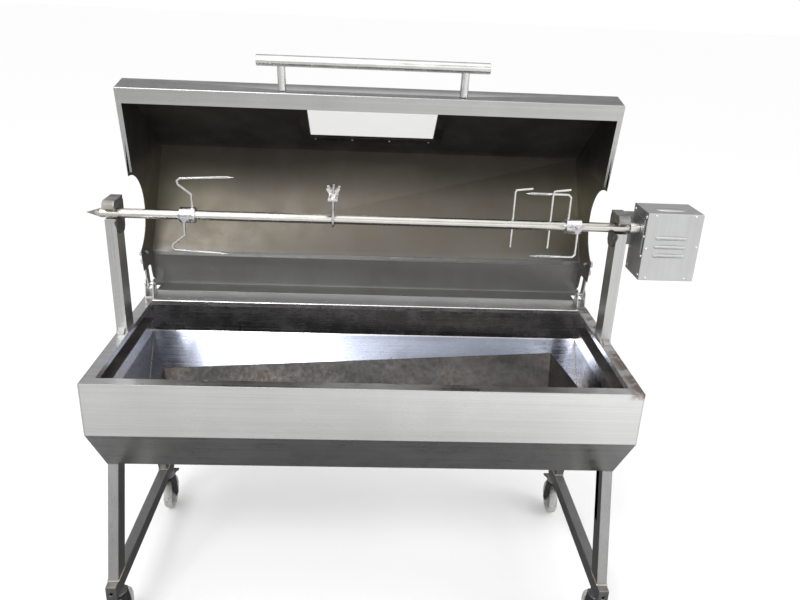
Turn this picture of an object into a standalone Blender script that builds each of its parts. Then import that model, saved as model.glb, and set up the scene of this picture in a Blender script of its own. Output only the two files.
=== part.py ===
"""Hooded spit roaster on four castors, in metres, +Z up, floor at Z 0, the front towards -Y."""

import math

import bmesh
import bpy
from mathutils import Matrix, Vector

# Trough: folded sheet box with a flat rim, vertical faces above and sloping faces below.
TROUGH_L = 1.200
TROUGH_W = 0.552
TROUGH_DEEP = 0.265
RIM_Z = 0.712
FACE_H = 0.125
SLOPE_IN = 0.102
SHEET = 0.002
RIM = 0.029
REAR_RIM = 0.085
LIP = 0.014
# Side frames: rectangular tube, the legs spreading towards the ends of the bottom rail.
TUBE_X = 0.025
TUBE_Y = 0.050
TUBE_WALL = 0.002
LEG_TOP_IN = 0.110
LEG_FOOT_IN = 0.024
RAIL_H = 0.040
SHOE = 0.004
# Castors: swivel fork, 100 mm wheel set behind the swivel.
WHEEL_R = 0.050
WHEEL_W = 0.028
TRAIL = 0.026
CASTOR_IN = 0.040
CROWN_ROOM = 0.030
AXLE_R = 0.004
# Spit: round bar held in two cradles on posts.
SPIT_Y = 0.0
SPIT_UP = 0.290
SPIT_R = 0.011
SLOT_CLEAR = 0.0012
POST_Y0 = -0.013
CRADLE_T = 0.003
HUB_R = 0.018
ROD_R = 0.003
# Hood: folded sheet hinged near the rear rim, held open by its own stop angle.
HOOD_HALF = 0.5850
HOOD_OPEN = 78.5
PIVOT_IN = 0.048
PIVOT_UP = 0.0324
PIN_R = 0.005
OVERHANG = 0.0375
BAND_H = 0.066
RIDGE_Y = -0.279
RIDGE_Z = 0.2833
NOTCH_R = 0.106
HANDLE_L = 0.528
HANDLE_R = 0.0125
HANDLE_OFF = 0.0665
HANDLE_POSTS = 0.418
WINDOW_W = 0.328
WINDOW_H = 0.158
WINDOW_FROM = 0.101
# Motor housing on the right post.
BOX_X = 0.130
BOX_Y = 0.096
BOX_Z = 0.162
BOX_GAP = 0.031
BOX_FRONT = 0.042
BOX_ABOVE = 0.048
BOX_T = 0.0015
GEAR_M = 0.0015
# Charcoal pan: its foot leaves room on the trough's floor, so it can lie askew, and its sides flare.
PAN_END_ROOM = 0.180
PAN_SIDE_ROOM = 0.158
PAN_CORNER = 0.01155
PAN_FLARE_X = 0.036
PAN_FLARE_Y = 0.115
PAN_H = 0.118
PAN_X = 0.018
# Clearances.
GAP = 0.0003
RUN = 0.0006

END_X = TROUGH_L / 2
FRONT_Y = -TROUGH_W / 2
REAR_Y = TROUGH_W / 2
BASE_Z = RIM_Z - TROUGH_DEEP
TUBE_MID = END_X - TUBE_X / 2
CASTOR_H = 2 * WHEEL_R + CROWN_ROOM
RAIL_Z = CASTOR_H + RAIL_H
SPIT_Z = RIM_Z + SPIT_UP
PIVOT = Vector((0.0, REAR_Y - PIVOT_IN, RIM_Z + PIVOT_UP))
SADDLE_Z = SPIT_Z - SPIT_R - SLOT_CLEAR
BOX_X0 = END_X + BOX_GAP
PAN_FOOT_L = TROUGH_L - PAN_END_ROOM
PAN_FOOT_W = TROUGH_W - 2 * SLOPE_IN - PAN_SIDE_ROOM
PAN_SKEW = PAN_SIDE_ROOM / 2 - PAN_CORNER
SIDES = (("left", -1), ("right", 1))
CORNERS = (("fl", -1, -1), ("fr", 1, -1), ("rl", -1, 1), ("rr", 1, 1))


def clear_scene():
    for obj in list(bpy.data.objects):
        bpy.data.objects.remove(obj, do_unlink=True)
    for group in list(bpy.data.collections):
        bpy.data.collections.remove(group)


clear_scene()
PARTS = bpy.data.collections.new("rotisserie_spit_roaster")
CUTTERS = bpy.data.collections.new("cutters")
bpy.context.scene.collection.children.link(PARTS)
bpy.context.scene.collection.children.link(CUTTERS)
CUTTERS.hide_render = True


def material(name, colour, metallic, roughness):
    """One Principled material per piece."""
    made = bpy.data.materials.new(name)
    made.use_nodes = True
    shader = made.node_tree.nodes["Principled BSDF"]
    shader.inputs["Base Color"].default_value = (*colour, 1.0)
    shader.inputs["Metallic"].default_value = metallic
    shader.inputs["Roughness"].default_value = roughness
    made.diffuse_color = (*colour, 1.0)
    return made


FINISHES = {
    "stainless": ((0.62, 0.62, 0.61), 1.0, 0.32),
    "polished": ((0.78, 0.77, 0.75), 1.0, 0.18),
    "sooted": ((0.22, 0.21, 0.19), 0.9, 0.45),
    "dark_steel": ((0.09, 0.09, 0.09), 0.8, 0.45),
    "zinc": ((0.55, 0.56, 0.58), 1.0, 0.35),
    "rubber": ((0.55, 0.55, 0.53), 0.0, 0.6),
    "black": ((0.03, 0.03, 0.03), 0.0, 0.5),
    "glass": ((0.85, 0.9, 0.9), 0.0, 0.05),
    "pan": ((0.30, 0.27, 0.24), 0.7, 0.6),
    "brass": ((0.75, 0.58, 0.28), 1.0, 0.3),
}


def to_object(name, mesh_data, finish=None):
    """Turns a bmesh into a named object: a part with a finish, or a hidden cutter without one."""
    bmesh.ops.recalc_face_normals(mesh_data, faces=mesh_data.faces)
    mesh = bpy.data.meshes.new(name)
    mesh_data.to_mesh(mesh)
    mesh_data.free()
    obj = bpy.data.objects.new(name, mesh)
    if finish is None:
        obj.hide_render = True
        obj.display_type = "WIRE"
        CUTTERS.objects.link(obj)
    else:
        mesh.materials.append(material(name, *FINISHES[finish]))
        PARTS.objects.link(obj)
    for face in mesh.polygons:
        face.use_smooth = True
    mesh.set_sharp_from_angle(angle=math.radians(35))
    return obj


def run_out(bm, way):
    """Extrudes the faces drawn so far into a closed solid."""
    grown = bmesh.ops.extrude_face_region(bm, geom=bm.faces[:])
    moved = [item for item in grown["geom"] if isinstance(item, bmesh.types.BMVert)]
    bmesh.ops.translate(bm, verts=moved, vec=way)
    return bm


def box(x0, x1, y0, y1, z0, z1):
    bm = bmesh.new()
    middle = Matrix.Translation(((x0 + x1) / 2, (y0 + y1) / 2, (z0 + z1) / 2))
    bmesh.ops.create_cube(bm, size=1.0, matrix=middle @ Matrix.Diagonal((x1 - x0, y1 - y0, z1 - z0, 1.0)))
    return bm


def prism_x(outline, x0, x1):
    """A (y, z) outline run along X."""
    bm = bmesh.new()
    bm.faces.new([bm.verts.new((x0, y, z)) for y, z in outline])
    return run_out(bm, (x1 - x0, 0.0, 0.0))


def prism_y(outline, y0, y1):
    """An (x, z) outline run along Y."""
    bm = bmesh.new()
    bm.faces.new([bm.verts.new((x, y0, z)) for x, z in outline])
    return run_out(bm, (0.0, y1 - y0, 0.0))


def prism_z(outline, z0, z1):
    """An (x, y) outline run along Z."""
    bm = bmesh.new()
    bm.faces.new([bm.verts.new((x, y, z0)) for x, y in outline])
    return run_out(bm, (0.0, 0.0, z1 - z0))


def circle(radius, count, cy=0.0, cz=0.0, start=0.0):
    turn = 2 * math.pi / count
    return [
        (cy + radius * math.cos(start + turn * i), cz + radius * math.sin(start + turn * i))
        for i in range(count)
    ]


def cone(low, high, r0, r1, count):
    """A capped cylinder or cone from one point to another."""
    low = Vector(low)
    high = Vector(high)
    way = high - low
    place = Matrix.Translation((low + high) / 2) @ way.to_track_quat("Z", "Y").to_matrix().to_4x4()
    bm = bmesh.new()
    bmesh.ops.create_cone(bm, cap_ends=True, segments=count, radius1=r0, radius2=r1, depth=way.length,
                          matrix=place)
    return bm


def cyl_x(radius, x0, x1, y, z, count=24):
    return cone((x0, y, z), (x1, y, z), radius, radius, count)


def cyl_y(radius, y0, y1, x, z, count=24):
    return cone((x, y0, z), (x, y1, z), radius, radius, count)


def cyl_z(radius, z0, z1, x, y, count=24):
    return cone((x, y, z0), (x, y, z1), radius, radius, count)


def lathe_x(profile, y, z, count=32):
    """Closed (x, radius) profile spun about a line along X."""
    bm = bmesh.new()
    drawn = [bm.verts.new((x, y + r, z)) for x, r in profile]
    for i, vert in enumerate(drawn):
        bm.edges.new((vert, drawn[(i + 1) % len(drawn)]))
    bmesh.ops.spin(bm, geom=bm.verts[:] + bm.edges[:], cent=(0.0, y, z), axis=(1.0, 0.0, 0.0),
                   angle=2 * math.pi, steps=count, use_merge=True)
    bmesh.ops.remove_doubles(bm, verts=bm.verts[:], dist=0.00001)
    return bm


def rod(path, radius):
    """A round rod along a path of points: a bevelled curve made into a mesh."""
    curve = bpy.data.curves.new("rod", "CURVE")
    curve.dimensions = "3D"
    curve.bevel_depth = radius
    curve.bevel_resolution = 1
    curve.use_fill_caps = True
    line = curve.splines.new("POLY")
    line.points.add(len(path) - 1)
    for drawn, point in zip(line.points, path):
        drawn.co = (*point, 1.0)
    guide = bpy.data.objects.new("rod", curve)
    CUTTERS.objects.link(guide)
    bpy.context.view_layer.update()
    mesh = bpy.data.meshes.new_from_object(guide.evaluated_get(bpy.context.evaluated_depsgraph_get()))
    bm = bmesh.new()
    bm.from_mesh(mesh)
    bmesh.ops.remove_doubles(bm, verts=bm.verts[:], dist=0.00001)
    bpy.data.objects.remove(guide, do_unlink=True)
    bpy.data.curves.remove(curve)
    bpy.data.meshes.remove(mesh)
    return bm


def wall(path, thick):
    """An open (y, z) path given a thickness to its left, with mitred corners."""
    path = [Vector(p) for p in path]
    inner = []
    for i, point in enumerate(path):
        before = (point - path[i - 1]).normalized() if i else None
        after = (path[i + 1] - point).normalized() if i + 1 < len(path) else None
        before = before or after
        after = after or before
        n0 = Vector((-before.y, before.x))
        n1 = Vector((-after.y, after.x))
        mitre = (n0 + n1).normalized()
        inner.append(point + mitre * (thick / mitre.dot(n0)))
    return [tuple(p) for p in path] + [tuple(p) for p in reversed(inner)]


def combine(target, other, operation, name):
    """Joins or cuts target with another mesh, through an exact Boolean."""
    helper = to_object(target.name + "_" + name, other)
    made = target.modifiers.new(name, "BOOLEAN")
    made.operation = operation
    made.solver = "EXACT"
    made.object = helper
    return helper


def join(target, other, name="join"):
    return combine(target, other, "UNION", name)


def cut(target, other, name="cut"):
    return combine(target, other, "DIFFERENCE", name)


def set_origin(obj, point):
    """Puts the object's origin on its joint axis, its shape staying where it is."""
    obj.data.transform(Matrix.Translation(-Vector(point)))
    obj.location = point


# Trough ------------------------------------------------------------------------------------


def trough_outline(inset):
    """The trough's cross-section, set in by the sheet's thickness for the inside."""
    slope = math.hypot(SLOPE_IN, TROUGH_DEEP - FACE_H)
    corner = inset * (slope - SLOPE_IN) / (TROUGH_DEEP - FACE_H)
    side = REAR_Y - inset
    knee = RIM_Z - FACE_H + inset * 0.35
    foot = REAR_Y - SLOPE_IN - corner * 0.5
    base = BASE_Z + inset
    top = RIM_Z - inset
    return [(-side, top), (-side, knee), (-foot, base), (foot, base), (side, knee), (side, top)]


def trough():
    half = END_X - RIM
    front = FRONT_Y + RIM
    rear = REAR_Y - REAR_RIM
    body = to_object("trough", prism_x(trough_outline(0), -END_X, END_X), "stainless")
    cut(body, prism_x(trough_outline(SHEET), -END_X + SHEET, END_X - SHEET), "inside")
    lip = box(-half - SHEET, half + SHEET, front - SHEET, rear + SHEET, RIM_Z - LIP, RIM_Z - SHEET / 2)
    join(body, lip, "lip")
    cut(body, box(-half, half, front, rear, RIM_Z - LIP - 0.01, RIM_Z + 0.01), "mouth")
    for tag, sx, sy in CORNERS:
        hole = cyl_z(0.0044, BASE_Z - 0.01, BASE_Z + 0.01, sx * TUBE_MID, sy * BOLT_Y, 12)
        cut(body, hole, "bolt_" + tag)


BOLT_Y = REAR_Y - LEG_TOP_IN - TUBE_Y - 0.030


def ledge(name, side):
    """Steel angle on the end wall, which carries a grill."""
    x0 = side * (END_X - SHEET - GAP)
    inward = -side
    outline = [(x0, 0.0), (x0 + inward * 0.034, 0.0), (x0 + inward * 0.034, -0.0025)]
    outline += [(x0 + inward * 0.0025, -0.0025), (x0 + inward * 0.0025, -0.022), (x0, -0.022)]
    top = RIM_Z - 0.040
    to_object("ledge_" + name, prism_y([(x, top + z) for x, z in outline], -0.200, 0.165), "sooted")


# Side frames -------------------------------------------------------------------------------


def leg_outline(sy, inset, z0, z1):
    """One leg seen from the side, its foot spread towards the end of the rail."""
    top = REAR_Y - LEG_TOP_IN
    foot = REAR_Y - LEG_FOOT_IN
    lean = (foot - top) / (BASE_Z - SHOE - RAIL_Z)
    skew = inset * math.hypot(1, lean)
    low = foot - lean * (z0 - RAIL_Z)
    high = foot - lean * (z1 - RAIL_Z)
    return [
        (sy * (low - skew), z0),
        (sy * (low - TUBE_Y + skew), z0),
        (sy * (high - TUBE_Y + skew), z1),
        (sy * (high - skew), z1),
    ]


def side_frame(name, side):
    """Two legs, bottom rail and shoe welded into one frame of rectangular tube."""
    x0 = side * TUBE_MID - TUBE_X / 2
    x1 = x0 + TUBE_X
    top = BASE_Z - GAP
    rail_half = REAR_Y - 0.002
    rail = box(x0, x1, -rail_half, rail_half, CASTOR_H, RAIL_Z)
    frame = to_object("side_frame_" + name, rail, "stainless")
    for tag, sy in (("front", -1), ("rear", 1)):
        join(frame, prism_x(leg_outline(sy, 0, RAIL_Z - 0.004, top - 0.002), x0, x1), "leg_" + tag)
        inner_y = sy * (REAR_Y - LEG_TOP_IN - TUBE_Y)
        gusset = [(inner_y + sy * 0.006, top - 0.001), (inner_y - sy * 0.022, top - 0.001)]
        gusset += [(inner_y + sy * 0.006, top - 0.030)]
        join(frame, prism_x(gusset, side * TUBE_MID - 0.002, side * TUBE_MID + 0.002), "gusset_" + tag)
    shoe_half = REAR_Y - LEG_TOP_IN
    join(frame, box(x0, x1, -shoe_half, shoe_half, top - SHOE, top), "shoe")
    inner = box(x0 + TUBE_WALL, x1 - TUBE_WALL, -rail_half + 0.003, rail_half - 0.003,
                CASTOR_H + TUBE_WALL, RAIL_Z - TUBE_WALL)
    cut(frame, inner, "rail_bore")
    for tag, sy in (("front", -1), ("rear", 1)):
        bore = leg_outline(sy, TUBE_WALL, RAIL_Z - 0.006, top - SHOE - 0.001)
        cut(frame, prism_x(bore, x0 + TUBE_WALL, x1 - TUBE_WALL), "leg_bore_" + tag)
        y0, y1 = sorted((sy * (rail_half - 0.006), sy * (rail_half + 0.006)))
        cut(frame, cyl_y(0.0042, y0, y1, side * TUBE_MID, RAIL_Z - RAIL_H / 2, 12), "vent_" + tag)
        cut(frame, cyl_z(0.0044, top - 0.02, top + 0.01, side * TUBE_MID, sy * BOLT_Y, 12), "bolt_" + tag)
        hole = cyl_z(0.0054, CASTOR_H - 0.01, CASTOR_H + 0.006, side * TUBE_MID, sy * CASTOR_Y, 16)
        cut(frame, hole, "stem_" + tag)


CASTOR_Y = REAR_Y - CASTOR_IN


def hexagon(radius, cx, cy):
    return circle(radius, 6, cx, cy)


def frame_bolt(tag, sx, sy):
    """Hexagon bolt up through shoe and trough floor, its nut inside the trough."""
    x = sx * TUBE_MID
    y = sy * BOLT_Y
    under = BASE_Z - GAP - SHOE - GAP
    bolt = to_object("frame_bolt_" + tag, cyl_z(0.0039, under - 0.003, BASE_Z + 0.013, x, y, 12), "zinc")
    join(bolt, prism_z(hexagon(0.0073, x, y), under - 0.0053, under), "head")
    join(bolt, prism_z(hexagon(0.0073, x, y), BASE_Z + SHEET + GAP, BASE_Z + SHEET + 0.007), "nut")


# Castors -----------------------------------------------------------------------------------


def castor_flange(tag, sx, sy):
    """Round swivel plate under the rail, with the threaded stem that goes up into it."""
    x = sx * TUBE_MID
    y = sy * CASTOR_Y
    top = CASTOR_H - GAP
    plate = to_object("castor_flange_" + tag, cyl_z(0.0225, top - 0.004, top, x, y, 24), "zinc")
    join(plate, cyl_z(0.0048, top - 0.001, top + 0.016, x, y, 12), "stem")
    join(plate, cyl_z(0.0062, top - 0.014, top - 0.003, x, y, 16), "king_pin")


def castor_fork(tag, sx, sy):
    """Pressed fork that swivels on the king pin and carries the axle."""
    x = sx * TUBE_MID
    y = sy * CASTOR_Y
    top = CASTOR_H - GAP - 0.004 - RUN
    inner = WHEEL_W / 2 + 0.0012
    axle_y = y + TRAIL
    fork = to_object("castor_fork_" + tag, cyl_z(0.021, top - 0.009, top, x, y, 20), "dark_steel")
    cheek = [(y - 0.019, top - 0.004), (y + 0.021, top - 0.004), (axle_y + 0.013, WHEEL_R + 0.004)]
    cheek += [(axle_y + 0.008, WHEEL_R - 0.011), (axle_y - 0.008, WHEEL_R - 0.011)]
    cheek += [(y - 0.006, WHEEL_R + 0.030)]
    crown = box(x - inner - 0.0025, x + inner + 0.0025, y - 0.017, y + 0.022, top - 0.007, top - 0.001)
    join(fork, crown, "crown")
    for k in (-1, 1):
        x0, x1 = sorted((x + k * inner, x + k * (inner + 0.0025)))
        join(fork, prism_x(cheek, x0, x1), "cheek_" + ("a" if k < 0 else "b"))
    join(fork, cyl_x(AXLE_R, x - inner - 0.006, x + inner + 0.006, axle_y, WHEEL_R, 16), "axle")
    cut(fork, cyl_z(0.0062 + RUN, top - 0.03, top + 0.01, x, y, 16), "king_hole")
    set_origin(fork, (x, y, top))


def castor_wheel(tag, sx, sy):
    """Moulded wheel with a grey tread, a recessed web and a plain bore."""
    x = sx * TUBE_MID
    y = sy * CASTOR_Y + TRAIL
    half = WHEEL_W / 2
    bore = AXLE_R + RUN
    web = 0.006
    profile = [(-half + 0.002, bore), (half - 0.002, bore), (half - 0.002, 0.013), (web, 0.016)]
    profile += [(web, 0.035), (half - 0.003, 0.037), (half - 0.003, WHEEL_R - 0.003)]
    profile += [(half - 0.007, WHEEL_R)]
    profile += [(-px, pr) for px, pr in reversed(profile[2:])]
    turned = lathe_x([(x + px, pr) for px, pr in profile], y, WHEEL_R, 24)
    wheel = to_object("castor_wheel_" + tag, turned, "rubber")
    set_origin(wheel, (x, y, WHEEL_R))


def brake_pedal(tag, sx, sy):
    """Foot lever of a braked castor, hinged across the back of the fork."""
    x = sx * TUBE_MID
    y = sy * CASTOR_Y + 0.029
    z = CASTOR_H - 0.024
    half = WHEEL_W / 2 + 0.0007
    path = [(y - 0.003, z + 0.002), (y + 0.013, z + 0.002), (y + 0.042, z - 0.012), (y + 0.050, z - 0.011)]
    pedal = to_object("brake_pedal_" + tag, prism_x(wall(path, 0.003), x - half, x + half), "dark_steel")
    set_origin(pedal, (x, y, z))


# Spit posts and cradles --------------------------------------------------------------------


def post(name, side):
    """Upright of rectangular tube on the end rim, capped just under the spit."""
    x0 = side * TUBE_MID - TUBE_X / 2
    x1 = x0 + TUBE_X
    y1 = POST_Y0 + TUBE_Y
    bottom = RIM_Z + GAP
    upright = to_object("spit_post_" + name, box(x0, x1, POST_Y0, y1, bottom, SADDLE_Z), "stainless")
    foot = prism_x([(POST_Y0 - 0.016, bottom), (POST_Y0 + 0.004, bottom), (POST_Y0 + 0.004, bottom + 0.012),
                    (POST_Y0 - 0.004, bottom + 0.008)], side * TUBE_MID - 0.008, side * TUBE_MID + 0.008)
    join(upright, foot, "weld_tab")
    bore = box(x0 + TUBE_WALL, x1 - TUBE_WALL, POST_Y0 + TUBE_WALL, y1 - TUBE_WALL,
               bottom - 0.01, SADDLE_Z - TUBE_WALL)
    cut(upright, bore, "bore")


def cradle(name, side):
    """Dark eight-sided cheek plate with the jaw that closes over the spit; open to the front."""
    inner = side * (TUBE_MID - TUBE_X / 2 - GAP)
    x0, x1 = sorted((inner, inner - side * CRADLE_T))
    low = SPIT_Z - 0.050
    high = SPIT_Z + 0.032
    y0 = SPIT_Y - 0.027
    y1 = POST_Y0 + TUBE_Y + 0.004
    plate = [(y0 + 0.012, low + 0.018), (y0 + 0.034, low), (y1 - 0.008, low), (y1, low + 0.012)]
    plate += [(y1, high - 0.010), (y1 - 0.010, high), (y0 + 0.008, high)]
    plate += [(y0, high - 0.009), (y0, low + 0.034)]
    made = to_object("cradle_" + name, prism_x(plate, x0, x1), "dark_steel")
    jaw_low = SPIT_Z + SPIT_R + SLOT_CLEAR
    jaw = [(y0 + 0.003, jaw_low + 0.003), (y0 + 0.007, jaw_low), (y1 + 0.003, jaw_low), (y1 + 0.003, high)]
    jaw += [(y0 + 0.014, high), (y0 + 0.005, high - 0.006)]
    a, b = sorted((inner - side * 0.001, side * END_X))
    join(made, prism_x(jaw, a, b), "jaw")
    back = POST_Y0 + TUBE_Y + GAP
    join(made, box(a, b, back, y1 + 0.003, SPIT_Z - 0.030, high - 0.002), "back")
    slot_r = SPIT_R + SLOT_CLEAR
    slot = [(SPIT_Y + slot_r * math.sin(t), SPIT_Z + slot_r * math.cos(t))
            for t in [math.pi * k / 12 for k in range(13)]]
    slot += [(y0 - 0.02, SPIT_Z - slot_r), (y0 - 0.02, SPIT_Z + slot_r)]
    cut(made, prism_x(slot, min(a, x0) - 0.01, max(b, x1) + 0.01), "slot")
    cut(made, cyl_x(0.0035, x0 - 0.01, x1 + 0.002, SPIT_Y - 0.004, SPIT_Z - 0.023, 12), "hole")


# Spit --------------------------------------------------------------------------------------


def skewer():
    """Round bar with a long pointed end on the left and a square driven end on the right."""
    tip = -END_X - 0.044
    right = END_X + 0.004
    bar = to_object("skewer", cyl_x(SPIT_R, tip + 0.034, right, SPIT_Y, SPIT_Z, 28), "polished")
    cone_line = [(tip, 0.0), (tip + 0.034, SPIT_R), (tip + 0.036, SPIT_R), (tip + 0.036, 0.0)]
    point = lathe_x(cone_line, SPIT_Y, SPIT_Z, 28)
    join(bar, point, "point")
    square = [(SPIT_Y + a * 0.006, SPIT_Z + b * 0.006) for a, b in ((-1, -1), (1, -1), (1, 1), (-1, 1))]
    join(bar, prism_x(square, right - 0.004, END_X + 0.026), "drive_end")
    for k, x in enumerate(PIN_X):
        cut(bar, cyl_z(0.0031, SPIT_Z - 0.03, SPIT_Z + 0.03, x, SPIT_Y, 12), "pin_hole_%d" % k)
    set_origin(bar, (0.0, SPIT_Y, SPIT_Z))


PIN_X = (0.330, 0.418)
BRACE_X = -0.085
FORK_LEFT_X = -0.415
FORK_RIGHT_X = 0.4725


def fork(name, x, toward):
    """Sliding hub with two bent rods that end in spikes."""
    half = 0.0175
    hub = to_object("fork_" + name, cyl_x(HUB_R, x - half, x + half, SPIT_Y, SPIT_Z, 24), "polished")
    for tag, up in (("up", 1), ("down", -1)):
        start = x + toward * (0.010 if up > 0 else -0.010)
        z = SPIT_Z + up * (HUB_R - 0.004)
        if name == "left":
            path = [(start, SPIT_Y, z), (start, SPIT_Y, SPIT_Z + up * 0.048),
                    (start - toward * 0.028, SPIT_Y, SPIT_Z + up * 0.070),
                    (start - toward * 0.030, SPIT_Y, SPIT_Z + up * 0.078),
                    (start - toward * 0.024, SPIT_Y, SPIT_Z + up * 0.084),
                    (start + toward * 0.085, SPIT_Y, SPIT_Z + up * 0.090)]
        else:
            y = SPIT_Y + up * 0.010
            path = [(start, y, z - up * 0.003), (start, y, SPIT_Z + up * 0.066),
                    (start + toward * 0.006, y, SPIT_Z + up * 0.072),
                    (start + toward * 0.095, y, SPIT_Z + up * 0.072)]
        join(hub, rod(path, ROD_R), "tine_" + tag)
        end = Vector(path[-1])
        back = Vector((toward * 0.004, 0.0, 0.0))
        point = cone(end - back, end + back * 3, ROD_R * 0.97, 0.0006, 10)
        join(hub, point, "spike_" + tag)
    cut(hub, cyl_x(SPIT_R + RUN, x - 0.05, x + 0.05, SPIT_Y, SPIT_Z, 24), "bore")
    cut(hub, cyl_y(0.0033, SPIT_Y - 0.04, SPIT_Y, x, SPIT_Z, 12), "screw_hole")
    set_origin(hub, (x, SPIT_Y, SPIT_Z))


def fork_screw(name, x):
    """Wing screw that locks the hub on the bar."""
    y_in = SPIT_Y - SPIT_R - RUN
    screw = to_object("fork_screw_" + name, cyl_y(0.0029, y_in - 0.026, y_in, x, SPIT_Z, 12), "zinc")
    join(screw, cyl_y(0.006, y_in - 0.030, y_in - 0.018, x, SPIT_Z, 12), "boss")
    wing = [(x - 0.017, SPIT_Z + 0.010), (x - 0.004, SPIT_Z - 0.004), (x + 0.004, SPIT_Z - 0.004)]
    wing += [(x + 0.017, SPIT_Z + 0.010), (x + 0.012, SPIT_Z + 0.013)]
    wing += [(x, SPIT_Z + 0.003), (x - 0.012, SPIT_Z + 0.013)]
    join(screw, prism_y(wing, y_in - 0.0285, y_in - 0.0255), "wings")
    set_origin(screw, (x, y_in, SPIT_Z))


def leg_pin(number, x):
    """Bent pin dropped through a cross hole in the bar."""
    top = SPIT_Z + 0.082
    path = [(x, SPIT_Y, SPIT_Z - 0.055), (x, SPIT_Y, top - 0.006), (x + 0.002, SPIT_Y, top - 0.001),
            (x + 0.008, SPIT_Y, top), (x + 0.040, SPIT_Y, top + 0.004)]
    pin = to_object("leg_pin_%d" % number, rod(path, 0.0025), "polished")
    set_origin(pin, (x, SPIT_Y, SPIT_Z))


def back_brace():
    """U-bolt that straddles the bar, and the cross bar its wing nuts clamp down."""
    x = BRACE_X
    side = SPIT_R + ROD_R + RUN
    top = SPIT_Z + 0.078
    bend = []
    for k in range(7):
        turn = math.pi * k / 6
        bend.append((x, SPIT_Y - side * math.cos(turn), SPIT_Z - 0.001 - side * math.sin(turn)))
    path = [(x, SPIT_Y - side, top)] + bend + [(x, SPIT_Y + side, top)]
    to_object("brace_u_bolt", rod(path, ROD_R), "zinc")
    low = SPIT_Z + 0.052
    flat = box(x - 0.011, x + 0.011, SPIT_Y - 0.038, SPIT_Y + 0.038, low, low + 0.004)
    bar = to_object("brace_bar", flat, "polished")
    for k, sy in enumerate((-1, 1)):
        y = SPIT_Y + sy * side
        join(bar, cyl_z(0.0065, low + 0.003, low + 0.012, x, y, 14), "nut_%d" % k)
        wing = [(x - 0.016, low + 0.022), (x - 0.006, low + 0.005), (x + 0.006, low + 0.005)]
        wing += [(x + 0.016, low + 0.022), (x + 0.011, low + 0.024)]
        wing += [(x, low + 0.010), (x - 0.011, low + 0.024)]
        join(bar, prism_y(wing, y - 0.0015, y + 0.0015), "wing_%d" % k)
        cut(bar, cyl_z(ROD_R + GAP, low - 0.01, low + 0.03, x, y, 14), "hole_%d" % k)


# Motor and its gears -----------------------------------------------------------------------

DRIVE_END = END_X + 0.026
GEAR_X0 = BOX_X0 + 0.0105
GEAR_W = 0.008
WHEEL2_X0 = GEAR_X0 + 0.0125
TEETH_OUT = 40
TEETH_SMALL = 12
TEETH_MID = 32
MID_DROP = GEAR_M * (TEETH_OUT + TEETH_SMALL) / 2
MOTOR_DROP = MID_DROP + GEAR_M * (TEETH_MID + TEETH_SMALL) / 2
PLATE_A = BOX_X0 + 0.0050
PLATE_B = WHEEL2_X0 + GEAR_W + 0.004


def gear_outline(teeth, z, turn):
    """Straight-sided spur gear outline about (SPIT_Y, z), with running backlash."""
    pitch = GEAR_M * teeth / 2
    step = 2 * math.pi / teeth
    out = []
    for k in range(teeth):
        mid = turn + step * k
        for r, share in ((pitch - 1.25 * GEAR_M, -0.34), (pitch + 0.92 * GEAR_M, -0.12),
                         (pitch + 0.92 * GEAR_M, 0.12), (pitch - 1.25 * GEAR_M, 0.34)):
            a = mid + share * step
            out.append((SPIT_Y + r * math.sin(a), z + r * math.cos(a)))
    return out


def output_shaft():
    """Drive socket, shaft and large gear in one piece, on the spit's own axis."""
    start = END_X + 0.006
    socket = cyl_x(0.0135, start, BOX_X0 - 0.0035 - RUN, SPIT_Y, SPIT_Z, 28)
    shaft = to_object("output_shaft", socket, "polished")
    join(shaft, cyl_x(0.006, DRIVE_END - 0.002, PLATE_B + 0.006, SPIT_Y, SPIT_Z, 20), "shaft")
    down = math.pi
    join(shaft, prism_x(gear_outline(TEETH_OUT, SPIT_Z, down), GEAR_X0, GEAR_X0 + GEAR_W), "gear")
    half = 0.006 + RUN
    square = [(SPIT_Y + a * half, SPIT_Z + b * half) for a, b in ((-1, -1), (1, -1), (1, 1), (-1, 1))]
    cut(shaft, prism_x(square, start - 0.01, DRIVE_END + 0.0008), "socket")
    set_origin(shaft, (0.0, SPIT_Y, SPIT_Z))


def middle_gear():
    """Compound gear between motor and output."""
    z = SPIT_Z - MID_DROP
    small_turn = math.pi / TEETH_SMALL
    large = prism_x(gear_outline(TEETH_MID, z, math.pi), WHEEL2_X0, WHEEL2_X0 + GEAR_W)
    gear = to_object("middle_gear", large, "brass")
    small = prism_x(gear_outline(TEETH_SMALL, z, small_turn), GEAR_X0, WHEEL2_X0 + 0.001)
    join(gear, small, "pinion")
    join(gear, cyl_x(0.003, PLATE_A - 0.001, PLATE_B + 0.003, SPIT_Y, z, 16), "arbor")
    set_origin(gear, (0.0, SPIT_Y, z))


def rotor():
    """Motor armature with its pinion."""
    z = SPIT_Z - MOTOR_DROP
    turn = math.pi / TEETH_SMALL
    arbor = cyl_x(0.0025, WHEEL2_X0 - 0.003, MOTOR_X1 - 0.006, SPIT_Y, z, 16)
    arm = to_object("motor_rotor", arbor, "zinc")
    join(arm, prism_x(gear_outline(TEETH_SMALL, z, turn), WHEEL2_X0, WHEEL2_X0 + GEAR_W), "pinion")
    join(arm, cyl_x(0.013, PLATE_B + 0.013, MOTOR_X1 - 0.012, SPIT_Y, z, 20), "armature")
    set_origin(arm, (0.0, SPIT_Y, z))


MOTOR_X1 = BOX_X0 + 0.104


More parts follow.
